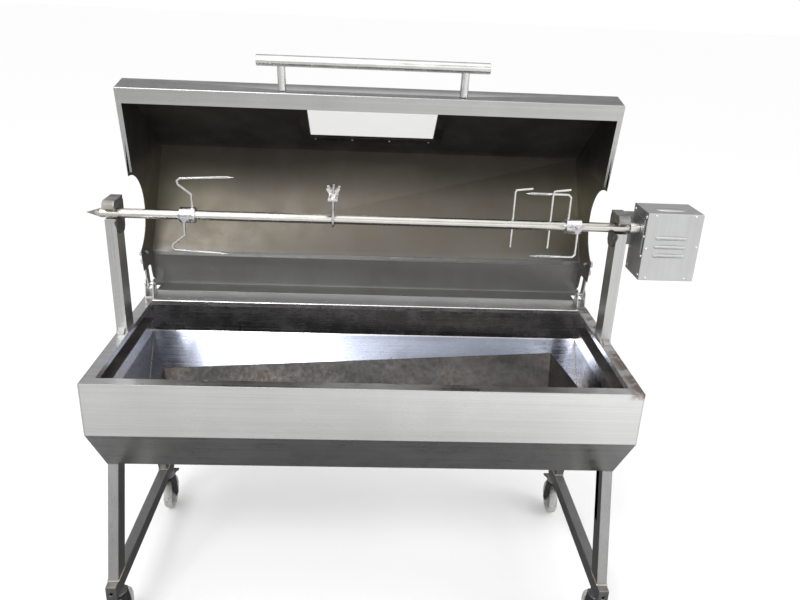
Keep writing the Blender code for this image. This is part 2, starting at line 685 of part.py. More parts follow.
def motor_case():
    """Motor can bolted to the far gear plate."""
    z = SPIT_Z - MOTOR_DROP
    x0 = PLATE_B + 0.003 + GAP
    can = to_object("motor_case", cyl_x(0.0215, x0, MOTOR_X1, SPIT_Y, z, 28), "zinc")
    cut(can, cyl_x(0.0145, x0 + 0.006, MOTOR_X1 - 0.008, SPIT_Y, z, 20), "bore")
    cut(can, cyl_x(0.0025 + RUN, x0 - 0.01, MOTOR_X1 - 0.004, SPIT_Y, z, 16), "arbor_hole")


def gear_plates():
    """Two plates joined by four pillars, which hold every gear shaft."""
    y0, y1 = SPIT_Y - 0.036, SPIT_Y + 0.036
    z0, z1 = SPIT_Z - 0.100, SPIT_Z + 0.036
    frame = to_object("gear_plates", box(PLATE_A, PLATE_A + 0.003, y0, y1, z0, z1), "zinc")
    join(frame, box(PLATE_B, PLATE_B + 0.003, y0, y1, z0, z1), "far_plate")
    for k, (y, z) in enumerate(((y0 + 0.005, z0 + 0.005), (y1 - 0.005, z0 + 0.005),
                                (y0 + 0.004, z1 - 0.004), (y1 - 0.004, z1 - 0.004))):
        join(frame, cyl_x(0.003, PLATE_A + 0.001, PLATE_B + 0.002, y, z, 8), "pillar_%d" % k)
        join(frame, cyl_x(0.003, BOX_X0 + BOX_T + GAP, PLATE_A + 0.001, y, z, 8), "foot_%d" % k)
    for k, (r, z) in enumerate(((0.0095, SPIT_Z), (0.003 + RUN, SPIT_Z - MID_DROP),
                                (0.0025 + RUN, SPIT_Z - MOTOR_DROP))):
        wide = r + (GAP if k == 0 else 0)
        cut(frame, cyl_x(wide, BOX_X0, PLATE_B + 0.01, SPIT_Y, z, 16), "shaft_hole_%d" % k)


def output_bush(name, x0):
    """Flanged bush in which the output shaft turns."""
    bore = 0.006 + RUN
    profile = [(x0, bore), (x0 + 0.003, bore), (x0 + 0.003, 0.0095), (x0, 0.0095)]
    to_object("output_bush_" + name, lathe_x(profile, SPIT_Y, SPIT_Z, 24), "brass")


def housing():
    """Folded cover, five sides, with three pressed louvres on its front."""
    y0 = SPIT_Y - BOX_FRONT
    y1 = y0 + BOX_Y
    z1 = SPIT_Z + BOX_ABOVE
    z0 = z1 - BOX_Z
    x1 = BOX_X0 + BOX_X
    cover = to_object("motor_cover", box(BOX_X0, x1, y0, y1, z0, z1), "stainless")
    for k in range(3):
        z = z1 - 0.060 - 0.021 * k
        lens = [(y0 + 0.0005, z + 0.0035), (y0 - 0.0035, z), (y0 + 0.0005, z - 0.0035)]
        join(cover, prism_x(lens, BOX_X0 + 0.026, BOX_X0 + 0.096), "louvre_%d" % k)
    cut(cover, box(BOX_X0 - 0.01, x1 - BOX_T, y0 + BOX_T, y1 - BOX_T, z0 + BOX_T, z1 - BOX_T), "inside")
    for k in range(3):
        z = z1 - 0.060 - 0.021 * k
        vent = box(BOX_X0 + 0.030, BOX_X0 + 0.092, y0 - 0.0012, y0 + 0.01, z - 0.0020, z - 0.0006)
        cut(cover, vent, "vent_%d" % k)
    cut(cover, cyl_y(0.0085, y1 - 0.01, y1 + 0.01, BOX_X0 + 0.095, z0 + 0.030, 20), "gland_hole")
    side = to_object("motor_side_plate",
                     box(BOX_X0 + GAP, BOX_X0 + BOX_T, y0 + BOX_T + GAP, y1 - BOX_T - GAP,
                         z0 + BOX_T + GAP, z1 - BOX_T - GAP), "stainless")
    cut(side, cyl_x(0.0075, BOX_X0 - 0.01, BOX_X0 + 0.01, SPIT_Y, SPIT_Z, 24), "shaft_hole")
    profile_x = BOX_X0 + 0.095
    thread = cyl_y(0.008, y1 - BOX_T - 0.006, y1 + 0.004, profile_x, z0 + 0.030, 20)
    gland = to_object("cable_gland", thread, "black")
    join(gland, prism_y(hexagon(0.012, profile_x, z0 + 0.030), y1 + GAP, y1 + 0.006), "nut")
    join(gland, cyl_y(0.009, y1 + 0.005, y1 + 0.016, profile_x, z0 + 0.030, 20), "dome")
    cut(gland, cyl_y(0.004, y1 - 0.02, y1 + 0.03, profile_x, z0 + 0.030, 16), "bore")


def motor_bracket():
    """Folded channel that carries the housing on the right post, behind the spit."""
    x0 = END_X + GAP
    x1 = BOX_X0 - GAP
    z0 = SPIT_Z - 0.052
    z1 = SPIT_Z + 0.030
    back = POST_Y0 + TUBE_Y + 0.006
    plate = to_object("motor_bracket", box(x1 - 0.003, x1, SPIT_Y - 0.034, back, z0, z1), "dark_steel")
    join(plate, box(x0, x1, back - 0.003, back, z0, z1), "web")
    join(plate, box(x0, x0 + 0.003, SPIT_Y + 0.018, back, z0, z1), "post_side")
    cut(plate, cyl_x(0.0075, x1 - 0.01, x1 + 0.01, SPIT_Y, SPIT_Z, 24), "shaft_hole")


# Hood --------------------------------------------------------------------------------------
# Everything of the hood is drawn closed, about its hinge line, and turned open by one empty.

RIM_BELOW = -PIVOT_UP + 0.001
LIP_Y = -(TROUGH_W - PIVOT_IN) - OVERHANG
HOOD_T = 0.0016
HOOD_PATH = [
    (LIP_Y + 0.037, RIM_BELOW),
    (LIP_Y, RIM_BELOW),
    (LIP_Y - 0.001, RIM_BELOW + BAND_H),
    (RIDGE_Y, RIDGE_Z),
    (-0.066, 0.066),
    (-0.051, 0.0685),
    (0.0284, 0.0493),
    (0.0169, -0.0071),
]


def hood_axis():
    axis = bpy.data.objects.new("hood_axis", None)
    axis.location = PIVOT
    axis.rotation_euler = (-math.radians(HOOD_OPEN), 0.0, 0.0)
    PARTS.objects.link(axis)
    return axis


def on_hood(obj, axis):
    """Hangs the object and its cutters on the hood's hinge line."""
    obj.parent = axis
    for modifier in obj.modifiers:
        modifier.object.parent = axis
    return obj


def slope_point(along, out=0.0):
    """A point on the front slope, so far from its lower fold and so far outside it."""
    low = Vector(HOOD_PATH[2])
    high = Vector(HOOD_PATH[3])
    run = (high - low).normalized()
    normal = Vector((-run.y, run.x))
    return tuple(low + run * along + normal * out)


def slope_slab(x0, x1, a0, a1, out0, out1):
    """A slab lying along the front slope."""
    outline = [slope_point(a0, out0), slope_point(a1, out0), slope_point(a1, out1), slope_point(a0, out1)]
    return prism_x(outline, x0, x1)


def hood(axis):
    """Folded hood with flanged ends, spit notches and a window opening."""
    path = [(y, z) for y, z in HOOD_PATH]
    skin = wall(path[::-1], HOOD_T)
    shell = to_object("hood", prism_x(skin, -HOOD_HALF, HOOD_HALF), "stainless")
    end = [path[1], path[2], path[3], path[4], path[5], (0.0200, 0.0513), (0.0, 0.034), (-0.045, 0.026)]
    end += [(-0.058, RIM_BELOW)]
    for name, side in SIDES:
        x0, x1 = sorted((side * HOOD_HALF, side * (HOOD_HALF - HOOD_T)))
        join(shell, prism_x(end, x0, x1), "end_" + name)
        hem = box(*sorted((side * HOOD_HALF, side * (HOOD_HALF - 0.012))),
                  LIP_Y + 0.002, -0.235 - NOTCH_R + 0.006, RIM_BELOW, RIM_BELOW + HOOD_T)
        join(shell, hem, "hem_" + name)
        a, b = sorted((side * (HOOD_HALF - 0.02), side * (HOOD_HALF + 0.02)))
        notch_y = -(TROUGH_W - PIVOT_IN) + 0.284
        cut(shell, prism_x(circle(NOTCH_R, 40, notch_y, RIM_BELOW - 0.018), a, b), "notch_" + name)
        a, b = sorted((side * 0.5665, side * (HOOD_HALF + 0.02)))
        cut(shell, box(a, b, -0.040, 0.05, -0.030, 0.0300), "hinge_room_" + name)
    for k, sx in enumerate((-1, 1)):
        y = LIP_Y - 0.0008
        hole = cyl_y(0.003, y - 0.02, y + 0.02, sx * HANDLE_POSTS / 2, RIM_BELOW + 0.020, 12)
        cut(shell, hole, "handle_hole_%d" % k)
    opening = slope_slab(-WINDOW_W / 2, WINDOW_W / 2, WINDOW_FROM, WINDOW_FROM + WINDOW_H, -0.02, 0.02)
    cut(shell, opening, "window")
    on_hood(shell, axis)


def window(axis):
    """Heat-proof glass behind the opening and the frame that holds it."""
    under = -HOOD_T - GAP
    half = WINDOW_W / 2 + 0.012
    glass_low = WINDOW_FROM - 0.012
    glass_high = WINDOW_FROM + WINDOW_H + 0.012
    pane = slope_slab(-half, half, glass_low, glass_high, under - 0.004, under)
    glass = to_object("window_glass", pane, "glass")
    on_hood(glass, axis)
    outer = half + 0.012
    low = WINDOW_FROM - 0.024
    high = WINDOW_FROM + WINDOW_H + 0.024
    frame = to_object("window_frame", slope_slab(-outer, outer, low, high, under - 0.0062, under), "sooted")
    rebate = slope_slab(-half - GAP, half + GAP, glass_low - GAP, glass_high + GAP,
                        under - 0.004 - GAP, under + 0.01)
    cut(frame, rebate, "rebate")
    cut(frame, slope_slab(-WINDOW_W / 2 - 0.002, WINDOW_W / 2 + 0.002, WINDOW_FROM - 0.002,
                          WINDOW_FROM + WINDOW_H + 0.002, under - 0.02, under + 0.01), "sight")
    on_hood(frame, axis)


def handle(axis):
    """Tube handle on two round stand-offs."""
    z = RIM_BELOW + 0.020
    y = LIP_Y - 0.0009 - HANDLE_OFF
    bar = to_object("handle_bar", cyl_x(HANDLE_R, -HANDLE_L / 2, HANDLE_L / 2, y, z, 28), "polished")
    for k, sx in enumerate((-1, 1)):
        x = sx * HANDLE_POSTS / 2
        cut(bar, cyl_y(0.0032, y - 0.002, y + 0.03, x, z, 12), "screw_hole_%d" % k)
    on_hood(bar, axis)
    for name, sx in (("left", -1), ("right", 1)):
        x = sx * HANDLE_POSTS / 2
        foot = LIP_Y - 0.0017 - GAP
        column = cyl_y(0.0095, y + HANDLE_R * 0.55, foot, x, z, 24)
        stand = to_object("handle_stand_" + name, column, "polished")
        cut(stand, cyl_x(HANDLE_R + GAP, x - 0.03, x + 0.03, y, z, 28), "saddle")
        join(stand, cyl_y(0.0027, foot - 0.006, foot + 0.012, x, z, 12), "stud")
        join(stand, cyl_y(0.0027, y, y + HANDLE_R + 0.006, x, z, 12), "top_stud")
        on_hood(stand, axis)


ARM_T = 0.004
ARM_X = HOOD_HALF + GAP
CHEEK_OUT = 0.5925


def hinge_arm(name, side, axis):
    """Flat arm bolted outside the hood's end, with a round eye on the hinge pin."""
    x0, x1 = sorted((side * ARM_X, side * (ARM_X + ARM_T)))
    turns = [math.radians(a) for a in range(-90, 91, 20)]
    eye = [(0.011 * math.cos(t), 0.011 * math.sin(t)) for t in turns]
    arm = to_object("hinge_arm_" + name, prism_x(eye + [(-0.108, 0.011), (-0.112, 0.007), (-0.112, -0.007),
                                                     (-0.108, -0.011)], x0, x1), "stainless")
    cut(arm, cyl_x(PIN_R + RUN, x0 - 0.01, x1 + 0.01, 0.0, 0.0, 20), "eye")
    for k, y in enumerate(ARM_BOLTS):
        cut(arm, cyl_x(0.0034, x0 - 0.01, x1 + 0.01, y, 0.0, 12), "bolt_%d" % k)
        shell = bpy.data.objects["hood"]
        hole = cut(shell, cyl_x(0.0034, side * 0.57, side * 0.60, y, 0.0, 12), "arm_%s_%d" % (name, k))
        hole.parent = axis
    on_hood(arm, axis)


ARM_BOLTS = (-0.096, -0.070)


def arm_knob(name, side, axis):
    """Knurled thumb screw through the arm's upper hole, with its nut inside the hood."""
    y = ARM_BOLTS[0]
    inside = HOOD_HALF - HOOD_T
    out = ARM_X + ARM_T + GAP

    def span(a, b):
        return sorted((side * a, side * b))

    knob = to_object("arm_knob_" + name, cyl_x(0.0031, *span(inside - 0.008, out + 0.004), y, 0.0, 12),
                     "zinc")
    join(knob, cyl_x(0.0085, *span(out, out + 0.0085), y, 0.0, 20), "head")
    join(knob, prism_x(circle(0.0064, 6, y, 0.0), *span(inside - GAP - 0.005, inside - GAP)), "nut")
    on_hood(knob, axis)


def hinge_bracket(name, side):
    """Upright fork on the end rim with the pin the arm turns on."""
    y = PIVOT.y
    z = PIVOT.z

    def span(a, b):
        return sorted((side * a, side * b))

    low = RIM_Z + GAP
    foot = box(*span(0.5722, 0.5965), y - 0.022, y + 0.022, low, low + 0.003)
    made = to_object("hinge_bracket_" + name, foot, "stainless")
    cheek = [(y - 0.020, low + 0.001), (y + 0.020, low + 0.001), (y + 0.012, z + 0.006)]
    cheek += [(y + 0.006, z + 0.012), (y - 0.006, z + 0.012), (y - 0.012, z + 0.006)]
    join(made, prism_x(cheek, *span(0.5722, 0.5752)), "inner_cheek")
    join(made, prism_x(cheek, *span(CHEEK_OUT, CHEEK_OUT + 0.003)), "outer_cheek")
    join(made, cyl_x(PIN_R, *span(0.5692, CHEEK_OUT + 0.006), y, z, 20), "pin")


# Charcoal pan ------------------------------------------------------------------------------


def pan_tub(wall, low, high):
    """The pan's flared shape between two heights, set in by a wall's thickness for the inside."""
    tub = box(-0.5, 0.5, -0.5, 0.5, low, high)
    for vert in tub.verts:
        for axis, foot, flare in ((0, PAN_FOOT_L, PAN_FLARE_X), (1, PAN_FOOT_W, PAN_FLARE_Y)):
            lean = flare / (2 * PAN_H)
            half = foot / 2 + vert.co.z * lean - wall * math.hypot(1, lean)
            vert.co[axis] = math.copysign(half, vert.co[axis])
    return tub


def pan():
    """Loose pan for the charcoal, lying a little askew on the trough's floor."""
    body = to_object("charcoal_pan", pan_tub(0.0, 0.0, PAN_H), "pan")
    cut(body, pan_tub(SHEET, SHEET, PAN_H + 0.01), "inside")
    helper = body.modifiers["inside"].object
    for obj in (body, helper):
        obj.location = (PAN_X, 0.0, BASE_Z + SHEET + 0.0005)
        obj.rotation_euler = (0.0, 0.0, math.asin(2 * PAN_SKEW / PAN_FOOT_L))


def build():
    trough()
    pan()
    for name, side in SIDES:
        ledge(name, side)
        side_frame(name, side)
        post(name, side)
        cradle(name, side)
        hinge_bracket(name, side)
    for tag, sx, sy in CORNERS:
        frame_bolt(tag, sx, sy)
        castor_flange(tag, sx, sy)
        castor_fork(tag, sx, sy)
        castor_wheel(tag, sx, sy)
    brake_pedal("rl", -1, 1)
    brake_pedal("rr", 1, 1)
    skewer()
    fork("left", FORK_LEFT_X, 1)
    fork("right", FORK_RIGHT_X, -1)
    fork_screw("left", FORK_LEFT_X)
    fork_screw("right", FORK_RIGHT_X)
    leg_pin(1, PIN_X[0])
    leg_pin(2, PIN_X[1])
    back_brace()
    output_shaft()
    middle_gear()
    rotor()
    motor_case()
    gear_plates()
    output_bush("near", PLATE_A)
    output_bush("far", PLATE_B)
    housing()
    motor_bracket()
    axis = hood_axis()
    hood(axis)
    window(axis)
    handle(axis)
    for name, side in SIDES:
        hinge_arm(name, side, axis)
        arm_knob(name, side, axis)


build()
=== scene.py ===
import math

import bmesh
import bpy
from mathutils import Matrix, Vector


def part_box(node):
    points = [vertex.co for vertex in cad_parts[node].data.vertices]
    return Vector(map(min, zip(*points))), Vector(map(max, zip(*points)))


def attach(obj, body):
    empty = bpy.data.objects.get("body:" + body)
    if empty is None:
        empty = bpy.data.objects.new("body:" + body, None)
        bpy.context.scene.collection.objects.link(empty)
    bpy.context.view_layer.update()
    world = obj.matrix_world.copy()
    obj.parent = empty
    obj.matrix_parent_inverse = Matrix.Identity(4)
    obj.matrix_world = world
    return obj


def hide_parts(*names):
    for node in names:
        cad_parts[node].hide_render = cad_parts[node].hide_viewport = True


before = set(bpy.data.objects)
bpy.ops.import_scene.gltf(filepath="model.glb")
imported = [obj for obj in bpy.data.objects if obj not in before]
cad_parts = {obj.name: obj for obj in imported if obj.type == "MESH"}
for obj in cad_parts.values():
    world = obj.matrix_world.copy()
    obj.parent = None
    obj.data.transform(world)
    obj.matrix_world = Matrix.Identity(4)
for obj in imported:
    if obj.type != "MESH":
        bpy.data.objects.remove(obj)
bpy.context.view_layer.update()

# Studio -------------------------------------------------------------------------------------
# A pale floor that in reflections shows painted shade, dark under the object, and painted light towards the
# right; a white room that is brighter in front and overhead than behind, one broad soft lamp high in front
# and a weaker one at the right. The camera stands a little above the spit.

tilt = math.radians(21.933)
turn = math.radians(2.796)
roll = math.radians(2.473)
ahead = Vector((math.sin(turn) * math.cos(tilt), math.cos(turn) * math.cos(tilt), -math.sin(tilt)))
level = Vector((math.cos(turn), -math.sin(turn), 0.0))
above = level.cross(ahead)
camera_right = level * math.cos(roll) + above * math.sin(roll)
camera_up = above * math.cos(roll) - level * math.sin(roll)
camera = bpy.data.objects.new("camera", bpy.data.cameras.new("camera"))
camera.data.sensor_width = 36.0
camera.data.lens = 33.60
camera.matrix_world = Matrix.LocRotScale(Vector((-0.0048, -1.6656, 1.4776)), None, None) @ Matrix(
    (camera_right, camera_up, -ahead)).transposed().to_4x4()
bpy.context.scene.collection.objects.link(camera)
bpy.context.scene.camera = camera
bpy.context.scene.view_settings.view_transform = "Standard"


class Finish:
    """One Principled finish, built up step by step. Fixed numbers sit on the shader's own sockets."""

    def __init__(self, name, **fixed):
        self.made = bpy.data.materials.new(name)
        self.made.use_nodes = True
        self.tree = self.made.node_tree
        self.shader = self.tree.nodes["Principled BSDF"]
        self.place = self.tree.nodes.new("ShaderNodeTexCoord").outputs["Object"]
        self.height = None
        for socket, value in fixed.items():
            self.shader.inputs[socket.replace("_", " ")].default_value = value

    def give(self, socket, value):
        if isinstance(value, bpy.types.NodeSocket):
            self.tree.links.new(value, socket)
        else:
            socket.default_value = value

    def node(self, kind, *values, **settings):
        made = self.tree.nodes.new(kind)
        for key, value in settings.items():
            setattr(made, key, value)
        for socket, value in zip(made.inputs, values):
            if value is not None:
                self.give(socket, value)
        return made

    def noise(self, stretch, detail=3.0, rough=0.55, at=(0.0, 0.0, 0.0)):
        """Cloud noise at so many lumps a metre along each axis."""
        spot = self.node("ShaderNodeMapping", self.place, at, (0.0, 0.0, 0.0), stretch)
        made = self.node("ShaderNodeTexNoise")
        self.give(made.inputs["Vector"], spot.outputs[0])
        self.give(made.inputs["Scale"], 1.0)
        self.give(made.inputs["Detail"], detail)
        self.give(made.inputs["Roughness"], rough)
        return made.outputs[0]

    def axis(self, letter):
        parts = self.node("ShaderNodeSeparateXYZ", self.place)
        return parts.outputs["XYZ".index(letter)]

    def span(self, value, low, high, to_low=0.0, to_high=1.0):
        return self.node("ShaderNodeMapRange", value, low, high, to_low, to_high).outputs[0]

    def sum(self, how, first, second):
        return self.node("ShaderNodeMath", first, second, operation=how).outputs[0]

    def mix(self, share, first, second, how="MIX"):
        made = self.node("ShaderNodeMix", data_type="RGBA", blend_type=how)
        for socket, value in ((0, share), (6, first), (7, second)):
            self.give(made.inputs[socket], (*value, 1.0) if isinstance(value, tuple) else value)
        return made.outputs[2]

    def ramp(self, value, *stops):
        made = self.node("ShaderNodeValToRGB", value)
        bands = made.color_ramp.elements
        while len(bands) < len(stops):
            bands.new(0.5)
        for band, (at, colour) in zip(bands, stops):
            band.position = at
            band.color = (*colour, 1.0)
        return made.outputs[0]

    def bump(self, height, strength, distance):
        made = self.node("ShaderNodeBump")
        self.give(made.inputs["Strength"], strength)
        self.give(made.inputs["Distance"], distance)
        self.give(made.inputs["Height"], height)
        if self.height is not None:
            self.give(made.inputs["Normal"], self.height)
        self.height = made.outputs[0]

    def done(self, colour, rough):
        self.give(self.shader.inputs["Base Color"], (*colour, 1.0) if isinstance(colour, tuple) else colour)
        self.give(self.shader.inputs["Roughness"], rough)
        if self.height is not None:
            self.give(self.shader.inputs["Normal"], self.height)
        return self.made


room = bpy.data.worlds.new("room")
bpy.context.scene.world = room
room.use_nodes = True
nodes = room.node_tree.nodes
links = room.node_tree.links
way = nodes.new("ShaderNodeTexCoord")
parts = nodes.new("ShaderNodeSeparateXYZ")
links.new(way.outputs["Generated"], parts.inputs[0])
height = nodes.new("ShaderNodeValToRGB")
for at, grey in ((0.0, 0.55), (0.30, 0.26), (0.55, 0.20), (1.0, 0.62)):
    band = height.color_ramp.elements.new(at) if 0.0 < at < 1.0 else height.color_ramp.elements[int(at)]
    band.color = (grey, grey, grey * 1.02, 1.0)
front = nodes.new("ShaderNodeMapRange")
for socket, value in zip(front.inputs[1:], (-1.0, 0.6, 2.6, 1.0)):
    socket.default_value = value
links.new(parts.outputs[2], height.inputs[0])
links.new(parts.outputs[1], front.inputs[0])
shine = nodes.new("ShaderNodeBackground")
links.new(height.outputs[0], shine.inputs[0])
links.new(front.outputs[0], shine.inputs[1])
plain = nodes.new("ShaderNodeBackground")
plain.inputs[0].default_value = (1.0, 1.0, 1.0, 1.0)
ray = nodes.new("ShaderNodeLightPath")
bounced = nodes.new("ShaderNodeMath")
bounced.operation = "MULTIPLY"
links.new(ray.outputs["Is Glossy Ray"], bounced.inputs[0])
links.new(ray.outputs["Is Reflection Ray"], bounced.inputs[1])
choose = nodes.new("ShaderNodeMixShader")
links.new(bounced.outputs[0], choose.inputs[0])
links.new(plain.outputs[0], choose.inputs[1])
links.new(shine.outputs[0], choose.inputs[2])
links.new(choose.outputs[0], nodes["World Output"].inputs[0])


def lamp(name, place, aim, wide, high, watts):
    made = bpy.data.objects.new(name, bpy.data.lights.new(name, "AREA"))
    made.data.shape = "RECTANGLE"
    made.data.size = wide
    made.data.size_y = high
    made.data.energy = watts
    made.location = place
    made.rotation_euler = (Vector(aim) - Vector(place)).to_track_quat("-Z", "Y").to_euler()
    made.visible_camera = False
    bpy.context.scene.collection.objects.link(made)


lamp("key_lamp", (-1.1, -2.5, 3.3), (-0.1, 0.1, 0.8), 1.5, 0.9, 60.0)
lamp("side_lamp", (3.2, -1.0, 2.0), (0.3, 0.0, 0.8), 1.2, 1.6, 22.0)

floor_mesh = bmesh.new()
bmesh.ops.create_grid(floor_mesh, x_segments=2, y_segments=2, size=60.0)
floor = bpy.data.objects.new("floor", bpy.data.meshes.new("floor"))
floor_mesh.to_mesh(floor.data)
floor_mesh.free()
bpy.context.scene.collection.objects.link(floor)
pale = Finish("pale_floor_painted_shade", Specular_IOR_Level=0.0)
path = pale.node("ShaderNodeLightPath")
mirrored = pale.sum("MULTIPLY", path.outputs["Is Glossy Ray"], path.outputs["Is Reflection Ray"])
away = pale.node("ShaderNodeVectorMath", pale.place, operation="LENGTH").outputs["Value"]
# Painted shade and painted light seen only in reflections: dark near the object, lighter far off and
# towards the right.
painted_floor_shade = pale.ramp(pale.span(away, 0.3, 2.0), (0.0, (0.10, 0.10, 0.10)), (0.25, (0.14, 0.14, 0.14)),
                   (0.60, (0.62, 0.62, 0.62)), (1.0, (0.74, 0.74, 0.74)))
painted_right_light = pale.span(pale.axis("X"), -1.3, 1.3, 0.76, 1.24)
painted_side_light = pale.node("ShaderNodeCombineXYZ", painted_right_light, painted_right_light, painted_right_light).outputs[0]
painted_floor_shade = pale.mix(1.0, painted_floor_shade, painted_side_light, "MULTIPLY")
floor.data.materials.append(pale.done(pale.mix(mirrored, (0.98, 0.98, 0.98), painted_floor_shade),
                                      pale.span(pale.noise((3, 3, 3)), 0.3, 0.7, 0.75, 0.85)))

# Side frames --------------------------------------------------------------------------------
# Rectangular stainless tube, 25 x 50 mm, brushed along its length: two spread legs, a bottom
# rail and a flat shoe under the trough, welded at every joint and left with a low bead.


def brushed(name, grain, tint=(0.60, 0.60, 0.59), rough=0.30, wave=0.35, stain=None, metal=1.0,
            depth=0.10):
    """Brushed stainless: long scratches along the grain, soft clouds and a slightly uneven sheet."""
    steel = Finish(name, Metallic=metal)
    lengths = {"x": (2.0, 420.0, 420.0), "y": (420.0, 2.0, 420.0), "z": (420.0, 420.0, 2.0)}
    scratch = steel.noise(lengths[grain], 4.0, 0.6)
    wide = steel.noise(tuple(n * 0.16 for n in lengths[grain]), 2.0, 0.5, (3.1, 1.7, 0.4))
    cloud = steel.noise((3.5, 3.5, 3.5), 4.0, 0.6, (0.3, 0.9, 0.1))
    rub = steel.noise((17.0, 17.0, 17.0), 3.0, 0.6, (1.3, 0.2, 2.1))
    shade = steel.sum("ADD", steel.sum("MULTIPLY", scratch, 0.45), steel.sum("MULTIPLY", wide, 0.25))
    shade = steel.sum("ADD", shade, steel.sum("MULTIPLY", cloud, 0.30))
    dark = tuple(c * 0.80 for c in tint)
    light = tuple(min(1.0, c * 1.12) for c in tint)
    colour = steel.mix(steel.span(shade, 0.32, 0.68), dark, light)
    gloss = steel.sum("ADD", steel.span(scratch, 0.3, 0.7, rough - 0.05, rough + 0.07),
                      steel.span(rub, 0.35, 0.7, -0.03, 0.06))
    if stain:
        colour, gloss = stain(steel, colour, gloss)
    steel.bump(scratch, depth, 0.0004)
    steel.bump(steel.noise((2.6, 2.6, 2.6), 1.0, 0.4, (0.5, 0.5, 0.9)), wave, 0.006)
    return steel.done(colour, gloss)


def broken_edges(node, edge, fold=None, inner=None, area=0.004):
    """A merged copy of a CAD node: folds of its wide faces get a bend radius, other edges are eased."""
    copy = bmesh.new()
    copy.from_mesh(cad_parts[node].data)
    bmesh.ops.remove_doubles(copy, verts=copy.verts[:], dist=2e-5)
    weight = copy.edges.layers.float.new("bevel_weight_edge")
    widest = max(edge, fold or 0.0, inner or 0.0)
    for e in copy.edges:
        if len(e.link_faces) != 2 or e.calc_face_angle(0.0) < math.radians(24):
            continue
        size = edge
        if fold and min(f.calc_area() for f in e.link_faces) > area:
            size = fold if e.is_convex else (inner or fold)
        elif e.calc_length() < 3.2 * edge:
            size = 0.0
        e[weight] = size / widest
    made = bpy.data.objects.new(node + "_body", bpy.data.meshes.new(node + "_body"))
    copy.to_mesh(made.data)
    copy.free()
    bpy.context.scene.collection.objects.link(made)
    for face in made.data.polygons:
        face.use_smooth = True
    made.data.set_sharp_from_angle(angle=math.radians(24))
    ease = made.modifiers.new("ease", "BEVEL")
    ease.limit_method = "WEIGHT"
    ease.width = widest
    ease.segments = 3
    ease.use_clamp_overlap = False
    ease.harden_normals = True
    return settled(made)


def settled(made):
    """The object with its modifiers made into its mesh."""
    bpy.context.view_layer.update()
    mesh = bpy.data.meshes.new_from_object(made.evaluated_get(bpy.context.evaluated_depsgraph_get()))
    made.modifiers.clear()
    made.data = mesh
    return made


def piece(made, body, finishes, stands_for=()):
    """Gives a finished mesh its finishes and puts it on its body."""
    which = [face.material_index for face in made.data.polygons]
    made.data.materials.clear()
    for finish in finishes if isinstance(finishes, (list, tuple)) else [finishes]:
        made.data.materials.append(finish)
    made.data.polygons.foreach_set("material_index", which)
    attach(made, body)
    if stands_for:
        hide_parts(*stands_for)
    return made


def eased(node, body, finish, slot, *edges):
    """A CAD node's eased copy as the piece that stands for it."""
    return piece(broken_edges(node, *edges), body, finish, (node,))


def mesh_object(name, drawn, smooth=35.0):
    bmesh.ops.recalc_face_normals(drawn, faces=drawn.faces)
    made = bpy.data.objects.new(name, bpy.data.meshes.new(name))
    drawn.to_mesh(made.data)
    drawn.free()
    bpy.context.scene.collection.objects.link(made)
    for face in made.data.polygons:
        face.use_smooth = True
    made.data.set_sharp_from_angle(angle=math.radians(smooth))
    return made


def tree_for(name, sizes):
    """An empty Geometry Nodes tree with a named input for each size, and a way to link its nodes."""
    tree = bpy.data.node_groups.new(name, "GeometryNodeTree")
    tree.interface.new_socket("Geometry", in_out="INPUT", socket_type="NodeSocketGeometry")
    for label, value in sizes.items():
        kind = "NodeSocketInt" if isinstance(value, int) else "NodeSocketFloat"
        tree.interface.new_socket(label, in_out="INPUT", socket_type=kind)
    tree.interface.new_socket("Geometry", in_out="OUTPUT", socket_type="NodeSocketGeometry")
    source = tree.nodes.new("NodeGroupInput")

    def add(kind, settings=None, **inputs):
        made = tree.nodes.new(kind)
        for key, value in (settings or {}).items():
            setattr(made, key, value)
        for key, value in inputs.items():
            socket = made.inputs[int(key[1:])] if key[1:].isdigit() else made.inputs[key.replace("_", " ")]
            if isinstance(value, bpy.types.NodeSocket):
                tree.links.new(value, socket)
            else:
                socket.default_value = value
        return made.outputs[0]

    return tree, source.outputs, add


def grown(name, body, tree, add, shape, sizes, guide, finish):
    """Ends a tree in Realize Instances and Set Material, runs it on its guide and keeps the plain mesh."""
    real = add("GeometryNodeRealizeInstances", Geometry=shape)
    coated = add("GeometryNodeSetMaterial", Geometry=real, Material=finish)
    sink = tree.nodes.new("NodeGroupOutput")
    tree.links.new(coated, sink.inputs[0])
    maker = guide.modifiers.new(name, "NODES")
    maker.node_group = tree
    for item in tree.interface.items_tree:
        if item.in_out == "INPUT" and item.name in sizes:
            maker[item.identifier] = sizes[item.name]
    settled(guide)
    guide.data.materials.clear()
    guide.data.materials.append(finish)
    for face in guide.data.polygons:
        face.material_index = 0
    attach(guide, body)
    return guide


